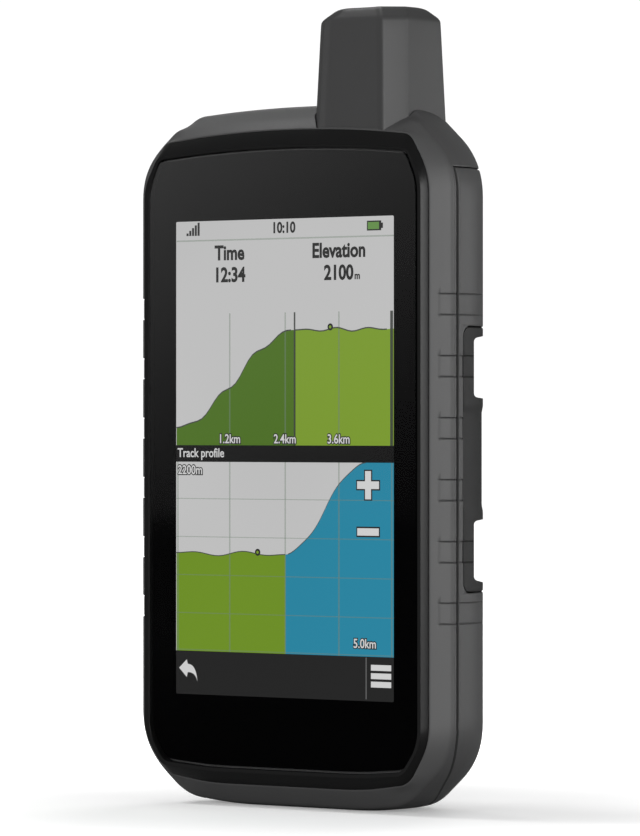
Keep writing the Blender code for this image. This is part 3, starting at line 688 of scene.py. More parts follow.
def lit(name, colour, cover=1.0):
    """A lit part of the display: a glow that drifts faintly, laid over what is below it."""
    material, graph, shader = new_material(name)
    graph.nodes.remove(shader)
    glow = graph.add("Emission")
    shade = graph.mapped(graph.noise(18.0, 1.0), 0.97, 1.03)
    graph.links.new(graph.tinted(colour, shade), glow.inputs["Color"])
    graph.mixed(cover, graph.add("BsdfTransparent"), glow, "Material Output")
    return material


# The glass's painted reflection: its strength, its lean across X and the span in Z, in millimetres, over
# which it grows.
SHEEN = 3.0
SHEEN_LEAN = 0.44
SHEEN_ALONG = (22.0, 170.0)


def glass(name):
    """Clear glass, shiny on its outside only. How strongly it reflects is painted by position: a painted
    reflection that fades away from its upper left.
    """
    material, graph, shader = new_material(name)
    graph.nodes.remove(shader)
    place = graph.add("NewGeometry")
    split = graph.add("SeparateXYZ")
    graph.links.new(place.outputs["Position"], split.inputs[0])
    # Painted reflection: the glossy share grows with height and towards the left.
    aside = graph.maths("MULTIPLY", split.outputs["X"], SHEEN_LEAN)
    along = graph.maths("SUBTRACT", split.outputs["Z"], aside)
    share = graph.mapped(along, 0.0, 1.0, SHEEN_ALONG[0] * MM, SHEEN_ALONG[1] * MM)
    fade = graph.maths("MULTIPLY", graph.maths("POWER", share, 2.0), SHEEN)
    fade = graph.maths("MULTIPLY", fade, graph.mapped(graph.noise(25.0, 2.0), 0.97, 1.03))
    amount = graph.maths("MULTIPLY", graph.add("Fresnel", IOR=1.5).outputs[0], fade)
    outside = graph.maths("SUBTRACT", 1.0, place.outputs["Backfacing"])
    amount = graph.maths("MULTIPLY", amount, outside)
    shine = graph.add("BsdfGlossy", Roughness=0.04)
    graph.mixed(amount, graph.add("BsdfTransparent"), shine, "Material Output")
    return material


GREY = moulded("grey_shell", (0.053, 0.053, 0.0535), 0.5)
# The antenna stub's grey: a darker copy of the shell grey, which makes the stub look darker than the housing.
RADOME = moulded("radome_shell", (0.041, 0.041, 0.0414), 0.5)
RAIL = moulded("rail_rubber", (0.014, 0.014, 0.0142), 0.58, 0.3, 0.015, specular=0.35)
DARK = moulded("dark_plastic", (0.022, 0.022, 0.024), 0.5)
RUBBER = moulded("black_rubber", (0.010, 0.010, 0.0103), 0.75, 0.25, 0.02, specular=0.3)
RING = moulded("ring_black", (0.004, 0.004, 0.0041), 0.34, 0.2, 0.003, specular=0.3)
INK = moulded("border_ink", (0.0012, 0.0012, 0.0013), 0.8, 0.2, 0.002, specular=0.0)
STEEL = brushed("steel", (0.50, 0.50, 0.51), 0.32)
GOLD = brushed("contact_gold", (0.80, 0.58, 0.24), 0.28)
BOARD = circuit("circuit_board")
AMBER = moulded("flex_amber", (0.42, 0.19, 0.03), 0.35, 0.6, 0.004)
WRAP = moulded("cell_wrap", (0.03, 0.10, 0.32), 0.38, 1.5, 0.01)
CERAMIC = moulded("ceramic_former", (0.62, 0.58, 0.50), 0.45, 0.2, 0.01)
MEMBRANE = moulded("membrane_white", (0.70, 0.70, 0.68), 0.85, 0.15, 0.03)
DIFFUSER = moulded("diffuser_white", (0.80, 0.80, 0.79), 0.6, 0.3, 0.01)
CLEAR = glass("cover_glass")


# The front


def make_bezel_ring():
    inner = grown(GLASS, GAP)
    crest = np.array(outline(RING_CREST))
    outer = outline(RING_OUTER)
    inner_top = np.array(inner)
    near = inner_top + (crest - inner_top) * 0.12
    rings = [
        level(inner, RING_FOOT_Y),
        level(inner, GLASS_Y[0] + 0.25),
        level(near, GLASS_Y[0] + 0.02),
        level(crest + (inner_top - crest) * 0.18, CREST_Y + 0.06),
        level(crest, CREST_Y),
        level(crest + (np.array(outer) - crest) * 0.06, CREST_Y + 0.08),
        level(crest + (np.array(outer) - crest) * 0.93, FRONT_EDGE_Y - 0.26),
        level(outer, FRONT_EDGE_Y - 0.02),
        level(outer, RING_FOOT_Y),
    ]
    ring = loft("bezel_ring_visual", rings, closed=True)
    return finish(ring, RING, "housing", "ring_black", "bezel_ring", sharp=22.0)


def make_glass():
    edge = 0.14
    rings = [
        level(outline(GLASS, Inset(edge, edge, edge)), GLASS_Y[0]),
        level(outline(GLASS, Inset(edge / 4, edge / 4, edge / 4)), GLASS_Y[0] + edge / 4),
        level(outline(GLASS), GLASS_Y[0] + edge),
        level(outline(GLASS), GLASS_Y[1]),
    ]
    pane = loft("cover_glass_visual", rings)
    finish(pane, CLEAR, "housing", "front_glass", "cover_glass", sharp=8.0)
    border = slab("glass_border_ink", outline(GLASS, Inset(0.2, 0.2, 0.2)), -14.985, -14.945)
    opening = rounded((ACTIVE_X[0], ACTIVE_Z[0]), (ACTIVE_X[1], ACTIVE_Z[1]), 0.3)
    window = slab("ink_window", opening, -20.0, -10.0)
    finish(cut(border, window), INK, "housing", "front_glass")


# The antenna stub


def stub_plan(grow):
    """The stub's plan, with its front face slightly dished between its cut corners."""
    half_x = STUB_HALF[0] + grow
    half_y = STUB_HALF[1] + grow
    flat = half_x - STUB_CUT
    deep = half_y - STUB_CUT
    strip = 1.8
    dish = 0.5
    corners = [
        (flat, -half_y), (half_x, -deep), (half_x, deep), (flat, half_y),
        (-flat, half_y), (-half_x, deep), (-half_x, -deep), (-flat, -half_y),
        (strip - flat, dish - half_y), (flat - strip, dish - half_y),
    ]
    plan = []
    for index, corner in enumerate(corners):
        before, after = Vector(corners[index - 1]), Vector(corners[(index + 1) % len(corners)])
        corner = Vector(corner)
        start = corner + (before - corner).normalized() * 0.55
        stop = corner + (after - corner).normalized() * 0.55
        plan += [(STUB_X + p.x, STUB_Y + p.y) for p in curve(start, corner, stop, 5)]
    return plan


def stub_ring(grow, z):
    return [(x, y, z) for x, y in stub_plan(grow)]


def make_antenna():
    side = [(STUB_FOOT_Z, 0.0), (STUB_FOOT_Z + 12.0, 0.43), (STUB_FOOT_Z + 24.0, 0.87)]
    shoulder = curve(Vector((176.7, 0.97)), Vector((177.5, 1.0)), Vector((178.1, 1.6)), 4)
    top = curve(Vector((179.3, 2.8)), Vector((STUB_TOP_Z, 3.8)), Vector((STUB_TOP_Z, 5.9)), 8)
    profile = side + [tuple(point) for point in shoulder + top]
    rings = [stub_ring(-inset, z) for z, inset in profile]
    radome = loft("antenna_radome_visual", rings)
    low_ring = stub_ring(-STUB_WALL, STUB_FOOT_Z - 1.0)
    high_ring = stub_ring(-STUB_WALL - 1.0, 176.0)
    hollow = loft("radome_hollow", [low_ring, high_ring])
    ring_room = slab("ring_room", grown(RING_OUTER, SEAT_GAP), -20.0, LEDGE_Y[0] + GAP)
    finish(cut(radome, hollow, ring_room), RADOME, "housing", "shell_grey", "antenna_radome", sharp=24.0)


# The housing


def shoulder_matrix():
    """Turns (along, depth, out) into the left shoulder's frame."""
    along = Vector((SHOULDER_RUN, 0.0, SHOULDER_RISE)).normalized()
    out = Vector((-SHOULDER_RISE, 0.0, SHOULDER_RUN)).normalized()
    matrix = Matrix((along, Vector((0.0, 1.0, 0.0)), out)).transposed().to_4x4()
    matrix.translation = Vector((BUTTON_X, 0.0, BUTTON_Z)) * MM
    return matrix


def on_shoulder(piece):
    piece.data.transform(shoulder_matrix())
    return piece


def button_hole():
    low, high = BUTTON_Y
    plan = rounded((-5.1, low - GAP), (3.7, high + GAP), 1.1)
    return on_shoulder(column("button_hole", plan, -6.0, 4.0))


def port_openings():
    usb_x = sum(USB_CAP_X) / 2
    port_x = sum(PORT_CAP_X) / 2
    openings = [
        slab("usb_opening", rounded((usb_x - 4.8, 147.1), (usb_x + 4.8, 150.1), 1.4), 6.0, 12.0),
        disc("port_opening", port_x, 148.6, 2.5, 9.8, 12.0),
    ]
    for span in (USB_CAP_X, PORT_CAP_X):
        plan = rounded((span[0] - GAP, CAP_Z[0] - GAP), (span[1] + GAP, CAP_HINGE_Z), 0.9)
        openings.append(slab("cap_recess", plan, BACK_Y - CAP_THICKNESS - GAP, 20.0))
    return openings


def antenna_block(name):
    return box(name, (3.0, -20.0, 147.0), (34.6, 9.5, 170.0))


def head_hollow():
    rings = [level(outline(BODY, Inset(2.9, 2.4, 2.9)), -8.0)]
    rings += [level(body_outline(y, wall), y) for y, wall in ((1.0, 1.9), (6.0, 2.0), (10.5, 2.0))]
    hollow = loft("head_hollow", rings)
    below = box("head_hollow_floor", (-60.0, -4.0, -10.0), (60.0, 20.0, HEAD_FLOOR_TOP_Z))
    front = box("head_hollow_front", (-60.0, -20.0, -10.0), (60.0, 0.0, 140.0))
    return cut(hollow, below, front, antenna_block("head_block"))


def make_front_housing(body_skin):
    housing = body_skin
    housing.name = "front_housing_visual"
    plan = seam_plan(SEAM_Y[0] + 0.02, SEAM_Z[1] - 0.02, 60.0)
    below_head = bar("below_head", plan, -60.0, 60.0)
    cavity = slab("front_cavity", outline(BODY, CAVITY), LEDGE_Y[1], -4.0)
    cut(cavity, antenna_block("front_block"))
    seat = slab("ring_seat", grown(RING_OUTER, SEAT_GAP), -20.0, LEDGE_Y[0])
    (x0, z0), (x1, z1) = LEDGE_OPENING
    window = box("ledge_window", (x0, -20.0, z0), (x1, -10.0, z1))
    pocket = loft("stub_pocket", [stub_ring(SEAT_GAP, 149.0), stub_ring(SEAT_GAP, 190.0)])
    cable_hole = column("cable_hole", circle(3.2, 32, (STUB_X, -4.4)), 140.0, 150.0)
    cutters = [below_head, cavity, head_hollow(), seat, window, pocket, cable_hole, button_hole()]
    cutters += port_openings()
    for step in range(3):
        cutters.append(disc(f"sound_hole_{step}", -24.0, 147.4 + 1.3 * step, 0.45, 8.0, 16.0, 20))
    cut(housing, *cutters)
    return finish(housing, GREY, "housing", "shell_grey", "front_housing")


# The battery pack


def rail_plan(side, margin):
    """A rail's plan grown by margin: inner faces on the X plane and on the notch slope."""
    x = RAIL_X - margin
    reach = RAIL_REACH - 1.25 * margin
    low_y, high_y = RAIL_Y[0] - margin, RAIL_Y[1] + margin
    knee_y = (reach - math.cos(NOTCH_ANGLE) * x) / math.sin(NOTCH_ANGLE)
    plan = ((x, low_y), (x, knee_y), (slope_x(reach, high_y), high_y), (60.0, high_y), (60.0, low_y))
    return [(side * px, py) for px, py in plan]


def notch_cutter(name, side, low_z, high_z):
    """A notch's room: its floor lies square to the notch direction, and its ends flare outwards."""
    corner = 0.9
    flare = math.tan(math.radians(9.0))
    profile = []
    for end, way in ((low_z, 1.0), (high_z, -1.0)):
        outer = (NOTCH_REACH + 12.0, end + 0.45 * way - 12.0 * flare * way)
        knee = Vector((NOTCH_REACH, end + 0.45 * way))
        start = knee + (Vector(outer) - knee).normalized() * corner
        stop = knee + Vector((0.0, way * corner))
        arc = [tuple(point) for point in curve(start, knee, stop, 6)]
        profile += [outer] + arc if way > 0 else arc[::-1] + [outer]
    rings = []
    for across in (-44.0, -4.0):
        ring = []
        for reach, z in profile:
            x = reach * math.cos(NOTCH_ANGLE) - across * math.sin(NOTCH_ANGLE)
            y = reach * math.sin(NOTCH_ANGLE) + across * math.cos(NOTCH_ANGLE)
            ring.append((side * x, y, z))
        rings.append(ring)
    return loft(name, rings)


def arc_point(angle, depth):
    """A point on the side's round, pressed in by depth."""
    reach = SIDE_RADIUS - depth
    return (BODY.half_width - SIDE_RADIUS + reach * math.cos(angle), FULL_Y + reach * math.sin(angle))


def rail_depth(y, z):
    edge = min(y - RAIL_Y[0], RAIL_Y[1] - y, z - RAIL_Z[0], RAIL_Z[1] - z)
    depth = float(lip(np.array(edge), 0.3))
    middle_low, middle_high = NOTCHES_Z[0][1] + 1.7, NOTCHES_Z[1][0] - 1.7
    inside = min(z - middle_low, middle_high - z)
    depth = max(depth, 0.28 * min(1.0, max(0.0, inside / 1.2)))
    return max(depth, float(band_depth(np.array(y), np.array(z))) * 0.8)


def rail_rows():
    rows = [RAIL_Z[0] + step for step in (0.0, 0.04, 0.1, 0.18, 0.3)]
    rows += [RAIL_Z[1] - step for step in (0.0, 0.04, 0.1, 0.18, 0.3)]
    for centre in BAND_CENTRES:
        for reach in BAND_REACH:
            rows += [centre - BAND_HALF + reach, centre + BAND_HALF - reach]
    fine = spaced(rows, RAIL_Z[0], RAIL_Z[1], 0.02)
    filler = [RAIL_Z[0] + 0.75 * step for step in range(80)]
    return sorted(fine + [z for z in filler if min(abs(z - row) for row in fine) > 0.3])


def rail_room(name, margin):
    """The rails' face on both sides, with its front corners rounded, grown by margin."""
    low = (RAIL_Y[0] - margin, RAIL_Z[0] - margin)
    high = (40.0, RAIL_Z[1] + margin)
    return bar(name, rounded(low, high, 2.2 + margin, 10), -60.0, 60.0)


def make_rail(word, side):
    steps = (0.0, 0.04, 0.1, 0.18, 0.3)
    ys = [RAIL_Y[0] + step for step in steps] + [RAIL_Y[1] - step for step in steps]
    ys += [BAND_Y[1] - step for step in (0.0, 0.3, 0.6)]
    fine = spaced(ys, RAIL_Y[0], RAIL_Y[1], 0.015)
    filler = [RAIL_Y[0] + 0.45 * step for step in range(32)]
    ys = sorted(fine + [y for y in filler if y < RAIL_Y[1] and min(abs(y - other) for other in fine) > 0.2])
    inner = rail_plan(1.0, 0.0)[:3]
    rings = []
    for z in rail_rows():
        ring = [arc_point(math.asin((y - FULL_Y) / SIDE_RADIUS), rail_depth(y, z)) for y in ys]
        ring += [inner[2], inner[1], inner[0]]
        rings.append([(side * x, y, z) for x, y in ring])
    rail = loft(f"side_rail_{word}_visual", rings)
    boolean(rail, "INTERSECT", rail_room(f"{word}_rail_face", 0.0))
    cut(rail, *[notch_cutter(f"{word}_notch_{index}", side, *z) for index, z in enumerate(NOTCHES_Z)])
    finish(rail, RAIL, "battery_pack", "trim_dark", f"side_rail_{word}", sharp=28.0)


def body_section(y, margin):
    """The body's outline at a depth near the side seam, drawn in by margin."""
    share = max(0.0, (FULL_Y - y) / (FULL_Y - CHAMFER_END_Y))
    high, low = rear_insets(y, margin)
    high = Inset(high.side, high.cut, high.end + CHAMFER_TOP.end * share)
    low = Inset(low.side, low.cut, low.end + CHAMFER_BOTTOM.end * share)
    return level(outline(BODY, high, low), y)


def make_seam_shade_strip():
    """The dark rubber strip that fills the seam between the housing and the pack, put there as painted shade:
    it darkens the deep gap and hides the lit pack wall behind it.
    """
    depths = (SEAM_Y[0] - 0.5, SEAM_Y[1] + 0.3, FULL_Y, -5.0, -2.0, 1.0, 3.0)
    shade_strip_body = loft("seam_shade_strip", [body_section(y, 0.8) for y in depths])
    inside = loft("shade_strip_inside", [body_section(y, 2.0) for y in (depths[0] - 1.0,) + depths + (4.5,)])
    low, high = SEAM_Y[0] + 0.02, SEAM_Y[1] - 0.02
    top_z = SEAM_Z[0] - 0.5
    plan = seam_line(low, top_z) + seam_line(high, top_z)[::-1]
    boolean(shade_strip_body, "INTERSECT", bar("shade_strip_line", plan, -60.0, 60.0))
    finish(cut(shade_strip_body, inside), RUBBER, "battery_pack", "seal_black")


def cell_bay():
    rings = []
    for y in (-2.6, BACK_Y - 1.8):
        side = BODY.half_width - slope_x(CELL_BAY_REACH, y)
        rings.append(level(outline(BODY, Inset(side, side * CUT_SHARES[0] + 2.4, 7.0)), y))
    bay = loft("cell_bay", rings)
    top = box("bay_top", (-60.0, -20.0, SEAM_Z[0] - 1.8), (60.0, 20.0, 200.0))
    boss = disc("latch_boss", 0.0, LATCH_Z, POCKET_RADIUS + 1.7, POCKET_FLOOR_Y - 1.8, 20.0)
    return cut(bay, top, boss)


def make_pack_case(body_skin):
    case = body_skin
    case.name = "pack_case_visual"
    before = bar("before_seam", seam_plan(SEAM_Y[1] - 0.02, 200.0, -60.0), -60.0, 60.0)
    above = box("above_pack", (-60.0, -30.0, SEAM_Z[0] + 0.02), (60.0, 30.0, 200.0))
    skirt = slab("skirt_hollow", outline(BODY, CAVITY), -20.0, -1.9)
    cutters = [before, above, skirt, cell_bay()]
    cutters.append(disc("ring_pocket", 0.0, LATCH_Z, POCKET_RADIUS, POCKET_FLOOR_Y, 20.0, 96))
    cutters.append(disc("seal_counterbore", 0.0, LATCH_Z, 5.0, 6.8, 9.0))
    cutters.append(disc("shaft_hole", 0.0, LATCH_Z, 3.4, 4.0, 9.0))
    for index, z in enumerate(SPINE_SCREWS_Z):
        cutters.append(disc(f"case_screw_hole_{index}", 0.0, z, 1.5, 5.0, 20.0, 24))
    cutters.append(slab("dock_recess", rounded((-14.3, 125.7), (14.3, 133.3), 1.2), BACK_Y - 1.0, 20.0))
    for side in (-1, 1):
        pocket = column("rail_pocket", rail_plan(side, GAP), RAIL_Z[0] - GAP, RAIL_Z[1] + GAP)
        cutters.append(boolean(pocket, "INTERSECT", rail_room("pocket_face", GAP)))
        cutters += [notch_cutter("case_notch", side, *z) for z in NOTCHES_Z]
    cut(case, *cutters)
    return finish(case, GREY, "battery_pack", "shell_grey", "pack_case")


# The button, the caps and the latch


def cushioned(name, plan_at, low, high, edge):
    """A flat piece whose far face has a rounded rim. plan_at(inset, level) gives its rings."""
    rings = [plan_at(0.0, low)]
    for angle in (0, 22, 45, 67, 90):
        turn = math.radians(angle)
        rings.append(plan_at(edge * (1 - math.cos(turn)), high - edge * (1 - math.sin(turn))))
    return loft(name, rings)


def arc_strip(name, radius, width, start, stop, low, high, centre):
    """A flat strip bent round an arc, for a symbol."""
    rings = []
    for step in range(25):
        turn = math.radians(start + (stop - start) * step / 24)
        ring = []
        for reach, level_z in ((radius - width / 2, low), (radius + width / 2, low),
                               (radius + width / 2, high), (radius - width / 2, high)):
            ring.append((centre[0] + reach * math.cos(turn), centre[1] + reach * math.sin(turn), level_z))
        rings.append(ring)
    return loft(name, rings)


def make_power_button():
    low, high = BUTTON_Y

    def plan_at(inset, level_z):
        plan = rounded((-4.8 + inset, low + inset), (3.4 - inset, high - inset), 1.1 - 0.5 * inset, 8)
        return [(x, y, level_z) for x, y in plan]

    cap = cushioned("power_button_cap", plan_at, -3.3, 0.32, 0.55)
    centre = (-0.7, (low + high) / 2)
    symbol = arc_strip("power_symbol_ring", 1.15, 0.3, -60.0, 240.0, 0.2, 0.5, centre)
    x, y = centre
    stroke = box("power_symbol_stroke", (x - 0.15, y + 0.35, 0.2), (x + 0.15, y + 1.65, 0.5))
    stem = column("power_button_stem", circle(1.2, 32, centre), -5.5, -3.0)
    boolean(cap, "UNION", symbol, stroke, stem)
    finish(on_shoulder(cap), DARK, "power_button", "trim_dark", "power_button")


def make_weather_cap(name, span, plug):
    """A soft cap with a rounded rim, a pull lip along its lower edge and a grooved hinge line."""
    low, high = span

    def plan_at(inset, y):
        plan = rounded((low + inset, CAP_Z[0] + inset), (high - inset, CAP_Z[1] - inset / 2), 0.9, 8)
        return level(plan, y)

    cap = cushioned(f"{name}_cover", plan_at, BACK_Y - CAP_THICKNESS, BACK_Y - 0.12, 0.35)
    middle = (low + high) / 2
    lip_plan = rounded((middle - 1.6, CAP_Z[0] + 0.5), (middle + 1.6, CAP_Z[0] + 1.1), 0.29, 6)
    pull = slab(f"{name}_pull", lip_plan, BACK_Y - 0.5, BACK_Y)
    boolean(cap, "UNION", pull, plug)
    groove = rod_along_x(f"{name}_groove", BACK_Y, CAP_Z[1] - 0.75, 0.28, low - 1.0, high + 1.0)
    finish(cut(cap, groove), RUBBER, name, "seal_black", name)


def make_weather_caps():
    usb_x = sum(USB_CAP_X) / 2
    port_x = sum(PORT_CAP_X) / 2
    plug = slab("usb_plug", rounded((usb_x - 3.4, 147.8), (usb_x + 3.4, 149.4), 0.6), 10.8, 11.6)
    make_weather_cap("usb_cap", USB_CAP_X, plug)
    make_weather_cap("antenna_port_cap", PORT_CAP_X, disc("port_plug", port_x, 148.6, 1.4, 10.8, 11.6))


def make_latch_stud():
    top = 11.6
    profile = [(2.5, -6.6), (2.9, -6.2), (2.9, POCKET_FLOOR_Y + GAP), (6.2, POCKET_FLOOR_Y + GAP)]
    profile += [(6.5, POCKET_FLOOR_Y + GAP + 0.3), (6.5, top - 0.7), (6.35, top - 0.25), (6.0, top)]
    stud = turned("latch_stud_head", 0.0, LATCH_Z, profile + [(4.6, top), (4.4, top - 0.25)], 96)
    cutters = [rod_along_x("stud_bore", RING_PIN_Y, LATCH_Z, 0.95, -9.0, 9.0)]
    for step in range(36):
        turn = 2 * math.pi * step / 36
        x, z = 6.62 * math.cos(turn), LATCH_Z + 6.62 * math.sin(turn)
        cutters.append(disc(f"grip_{step}", x, z, 0.22, 10.9, 12.0, 8))
    slot = rounded((-0.8, LATCH_Z - 4.0), (0.8, LATCH_Z + 4.0), 0.75)
    cutters.append(slab("coin_slot", slot, 10.9, 13.0))
    finish(cut(stud, *cutters), STEEL, "latch", "steel", "latch_stud", sharp=28.0)


def make_d_ring():
    """A round-cornered loop bent from bar, with a flat eye at each end of its straight side."""
    outer, inner, top = 11.6, 8.0, 1.3
    middle, half = (outer + inner) / 2, (outer - inner) / 2
    path = [(-middle, top)]
    path += [(middle * math.cos(t), middle * math.sin(t)) for t in np.linspace(math.pi, 2 * math.pi, 49)]
    path += [(middle, top)]
    section = rounded((-half, -1.0), (half, 1.0), 0.85, 6)
    rings = []
    for x, z in path:
        reach = math.hypot(x, min(z, 0.0))
        across = (x / reach, min(z, 0.0) / reach)
        rings.append([(x + a * across[0], RING_PIN_Y + b, LATCH_Z + z + a * across[1]) for a, b in section])
    ring = loft("d_ring_loop", rings)
    cut(ring, rod_along_x("ring_bore", RING_PIN_Y, LATCH_Z, 0.95, -20.0, 20.0))
    finish(ring, STEEL, "d_ring", "steel", "d_ring", sharp=40.0)


def make_spine_screws():
    head_y = SPINE_BACK_Y - 1.4
    top = SPINE_BACK_Y - 0.3
    for index, z in enumerate(SPINE_SCREWS_Z):
        shank = ((1.2, 10.9), (1.2, head_y))
        head = ((2.25, head_y), (2.4, head_y + 0.15), (2.4, top - 0.3), (2.1, top))
        screw = turned(f"spine_screw_head_{index + 1}", 0.0, z, shank + head, 48)
        socket = disc(f"hex_socket_{index}", 0.0, z, 1.15, SPINE_BACK_Y - 1.1, 20.0, 6)
        finish(cut(screw, socket), STEEL, "battery_pack", "steel", f"spine_screw_{index + 1}")


def make_contacts(node, word, low, high, face, xs, half_z):
    """Gilt pads set in a dark block that faces +Y."""
    middle = (low[1] + high[1]) / 2

    def plan_at(inset, y):
        return level(rounded((low[0] + inset, low[1] + inset), (high[0] - inset, high[1] - inset), 1.0, 8), y)

    plate = cushioned(f"{word}_contact_base", plan_at, face - 0.35, face, 0.15)
    plans = [rounded((x - 1.5, middle - half_z), (x + 1.5, middle + half_z), 1.45, 8) for x in xs]
    cut(plate, *[slab("pad_seat", plan, face - 0.12, 20.0) for plan in plans])
    finish(plate, DARK, "battery_pack" if word == "dock" else "housing", "contact_gold", node)
    for index, (x, plan) in enumerate(zip(xs, plans)):
        inner = [(x + (px - x) * 0.96, middle + (pz - middle) * 0.96) for px, pz in plan]
        pad = slab(f"{word}_pad_{index + 1}", inner, face - 0.11, face + 0.1)
        finish(soften(pad, 0.08, 2), GOLD, "battery_pack" if word == "dock" else "housing", "contact_gold")


def make_all_contacts():
    dock_xs = (-10.0, -5.0, 0.0, 5.0, 10.0)
    make_contacts("dock_contact_plate", "dock", (-14.0, 126.0), (14.0, 133.0), BACK_Y - 0.35, dock_xs, 2.1)
    pack_xs = (-8.4, -2.8, 2.8, 8.4)
    make_contacts("battery_contact_block", "pack", (-12.0, 128.0), (12.0, 137.0), -1.15, pack_xs, 3.0)


# The display's picture


# Level 0 is the paper, and each level above it lies nearer the glass.

PICTURE_Y = -14.74
SHEET = 0.03
LEVEL_STEP = 0.04

PAPER = lit("screen_paper", (0.53, 0.53, 0.53))
DARK_HILL = lit("screen_dark_hill", (0.076, 0.162, 0.019))
LIGHT_HILL = lit("screen_light_hill", (0.198, 0.323, 0.032))
GREEN_GROUND = lit("screen_green_ground", (0.156, 0.275, 0.023))
WATER = lit("screen_water", (0.026, 0.231, 0.352))
BAR = lit("screen_bar", (0.021, 0.021, 0.021))
TITLE_BAR = lit("screen_title_bar", (0.011, 0.011, 0.011))
GRID = lit("screen_grid", (0.16, 0.22, 0.16), 0.27)
SHADE = lit("screen_shade", (0.05, 0.055, 0.05), 0.75)
DARK_MARK = lit("screen_dark_mark", (0.024, 0.024, 0.024))
DIVIDER = lit("screen_divider", (0.12, 0.12, 0.12))
LIGHT_MARK = lit("screen_light_mark", (0.62, 0.62, 0.62))
BATTERY = lit("screen_battery", (0.13, 0.27, 0.07))

CHART_X = (-32.2, 32.2)
UPPER_Z = (82.0, 112.0)
LOWER_Z = (35.0, 78.2)
SPLIT_X = 3.5
SHORE_X = 0.5
GRID_X = (-16.1, 0.45, 16.2)
GRID_Z = (43.7, 52.4, 61.1, 69.8)
CHART_STEPS = 28
SUMMIT_Z = 108.0
GROUND_Z = 57.4


def skyline(start, stop, ripple, waves):
    """A chart's line: an S-shaped rise from start to stop, with a ripple that fades at both ends."""
    points = []
    for step in range(CHART_STEPS + 1):
        share = step / CHART_STEPS
        rise = share * share * (3 - 2 * share)
        swell = ripple * math.sin(2 * math.pi * waves * share) * math.sin(math.pi * share)
        x = start[0] + (stop[0] - start[0]) * share
        points.append((x, start[1] + (stop[1] - start[1]) * rise + swell))
    return points


HILL = skyline((CHART_X[0], 86.0), (SPLIT_X, SUMMIT_Z), 1.0, 3.5)
PLATEAU = skyline((SPLIT_X, SUMMIT_Z), (CHART_X[1], SUMMIT_Z), 0.45, 3.0)
MEADOW = skyline((CHART_X[0], GROUND_Z), (SHORE_X, GROUND_Z), 0.6, 2.0)
SHORE = skyline((SHORE_X, GROUND_Z), (24.0, LOWER_Z[1]), 0.6, 2.0) + [(CHART_X[1], LOWER_Z[1])]


def marker(point):
    """The centre of a marker that stands on a chart's line."""
    return (point[0], point[1] + 0.4)


MARKERS = (marker(PLATEAU[10]), marker(MEADOW[21]))


def patch(x0, z0, x1, z1):
    return ((x0, z0), (x1, z0), (x1, z1), (x0, z1))


def filled(profile, floor_z):
    """The area between a profile and a level floor."""
    return ((profile[-1][0], floor_z), (profile[0][0], floor_z)) + tuple(profile)


def traced(profile, width):
    """A line of this width drawn along a profile."""
    above = [(x, z + width / 2) for x, z in profile]
    return above + [(x, z - width / 2) for x, z in reversed(profile)]


def plus(x, z, size, width):
    """A plus sign's outline."""
    half, thin = size / 2, width / 2
    quarter = ((thin, thin), (thin, half), (-thin, half), (-thin, thin))
    turns = ((1, 0), (0, 1), (-1, 0), (0, -1))
    return [(x + px * c - pz * s, z + px * s + pz * c) for c, s in turns for px, pz in quarter[:3]]


def arrow_back():
    """A bent arrow that points left."""
    tail = curve(Vector((-28.7, 32.0)), Vector((-26.2, 32.0)), Vector((-25.8, 28.2)), 8)
    under = curve(Vector((-25.8, 28.2)), Vector((-26.4, 30.2)), Vector((-28.7, 30.1)), 8)
    bent = [tuple(point) for point in tail + under[1:]]
    return [(-31.3, 31.05), (-29.0, 33.0)] + bent + [(-29.0, 29.0)]


def lettered(shape, word, low_y, weight):
    """Adds a word to a mesh as a thin sheet. Its foot stands on the word's foot_z."""
    text = bpy.data.curves.new("words", "FONT")
    text.body = word.text
    text.align_x = word.align
    text.offset = weight
    text.extrude = 0.5
    text.resolution_u = 4
    holder = bpy.data.objects.new("words", text)
    bpy.context.scene.collection.objects.link(holder)
    mesh = bpy.data.meshes.new_from_object(holder.evaluated_get(bpy.context.evaluated_depsgraph_get()))
    bpy.data.objects.remove(holder)
    for vertex in mesh.vertices:
        along, above, out = vertex.co
        x = word.x + word.size * NARROW * along
        vertex.co = Vector((x, low_y + SHEET * (0.5 - out), word.foot_z + word.size * above)) * MM
    shape.from_mesh(mesh)


def printed(name, level_number, material, plans=(), words=(), weight=0.0):
    """One colour of the picture: flat shapes and words on one level."""
    low_y = PICTURE_Y - LEVEL_STEP * level_number
    shape = bmesh.new()
    for plan in plans:
        back = [shape.verts.new(Vector((x, low_y + SHEET, z)) * MM) for x, z in plan]
        front = [shape.verts.new(Vector((x, low_y, z)) * MM) for x, z in plan]
        shape.faces.new(back)
        shape.faces.new(front)
        for step in range(len(plan)):
            after = (step + 1) % len(plan)
            shape.faces.new((back[step], back[after], front[after], front[step]))
    for word in words:
        lettered(shape, word, low_y, weight)
    bmesh.ops.remove_doubles(shape, verts=shape.verts, dist=0.00001 * MM)
    bmesh.ops.recalc_face_normals(shape, faces=shape.faces)
    mesh = bpy.data.meshes.new(name)
    shape.to_mesh(mesh)
    shape.free()
    piece = bpy.data.objects.new(name, mesh)
    bpy.context.scene.collection.objects.link(piece)
    piece.data.materials.append(material)
    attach(piece, "housing")


Word = namedtuple("Word", "text x foot_z size align", defaults=("CENTER",))

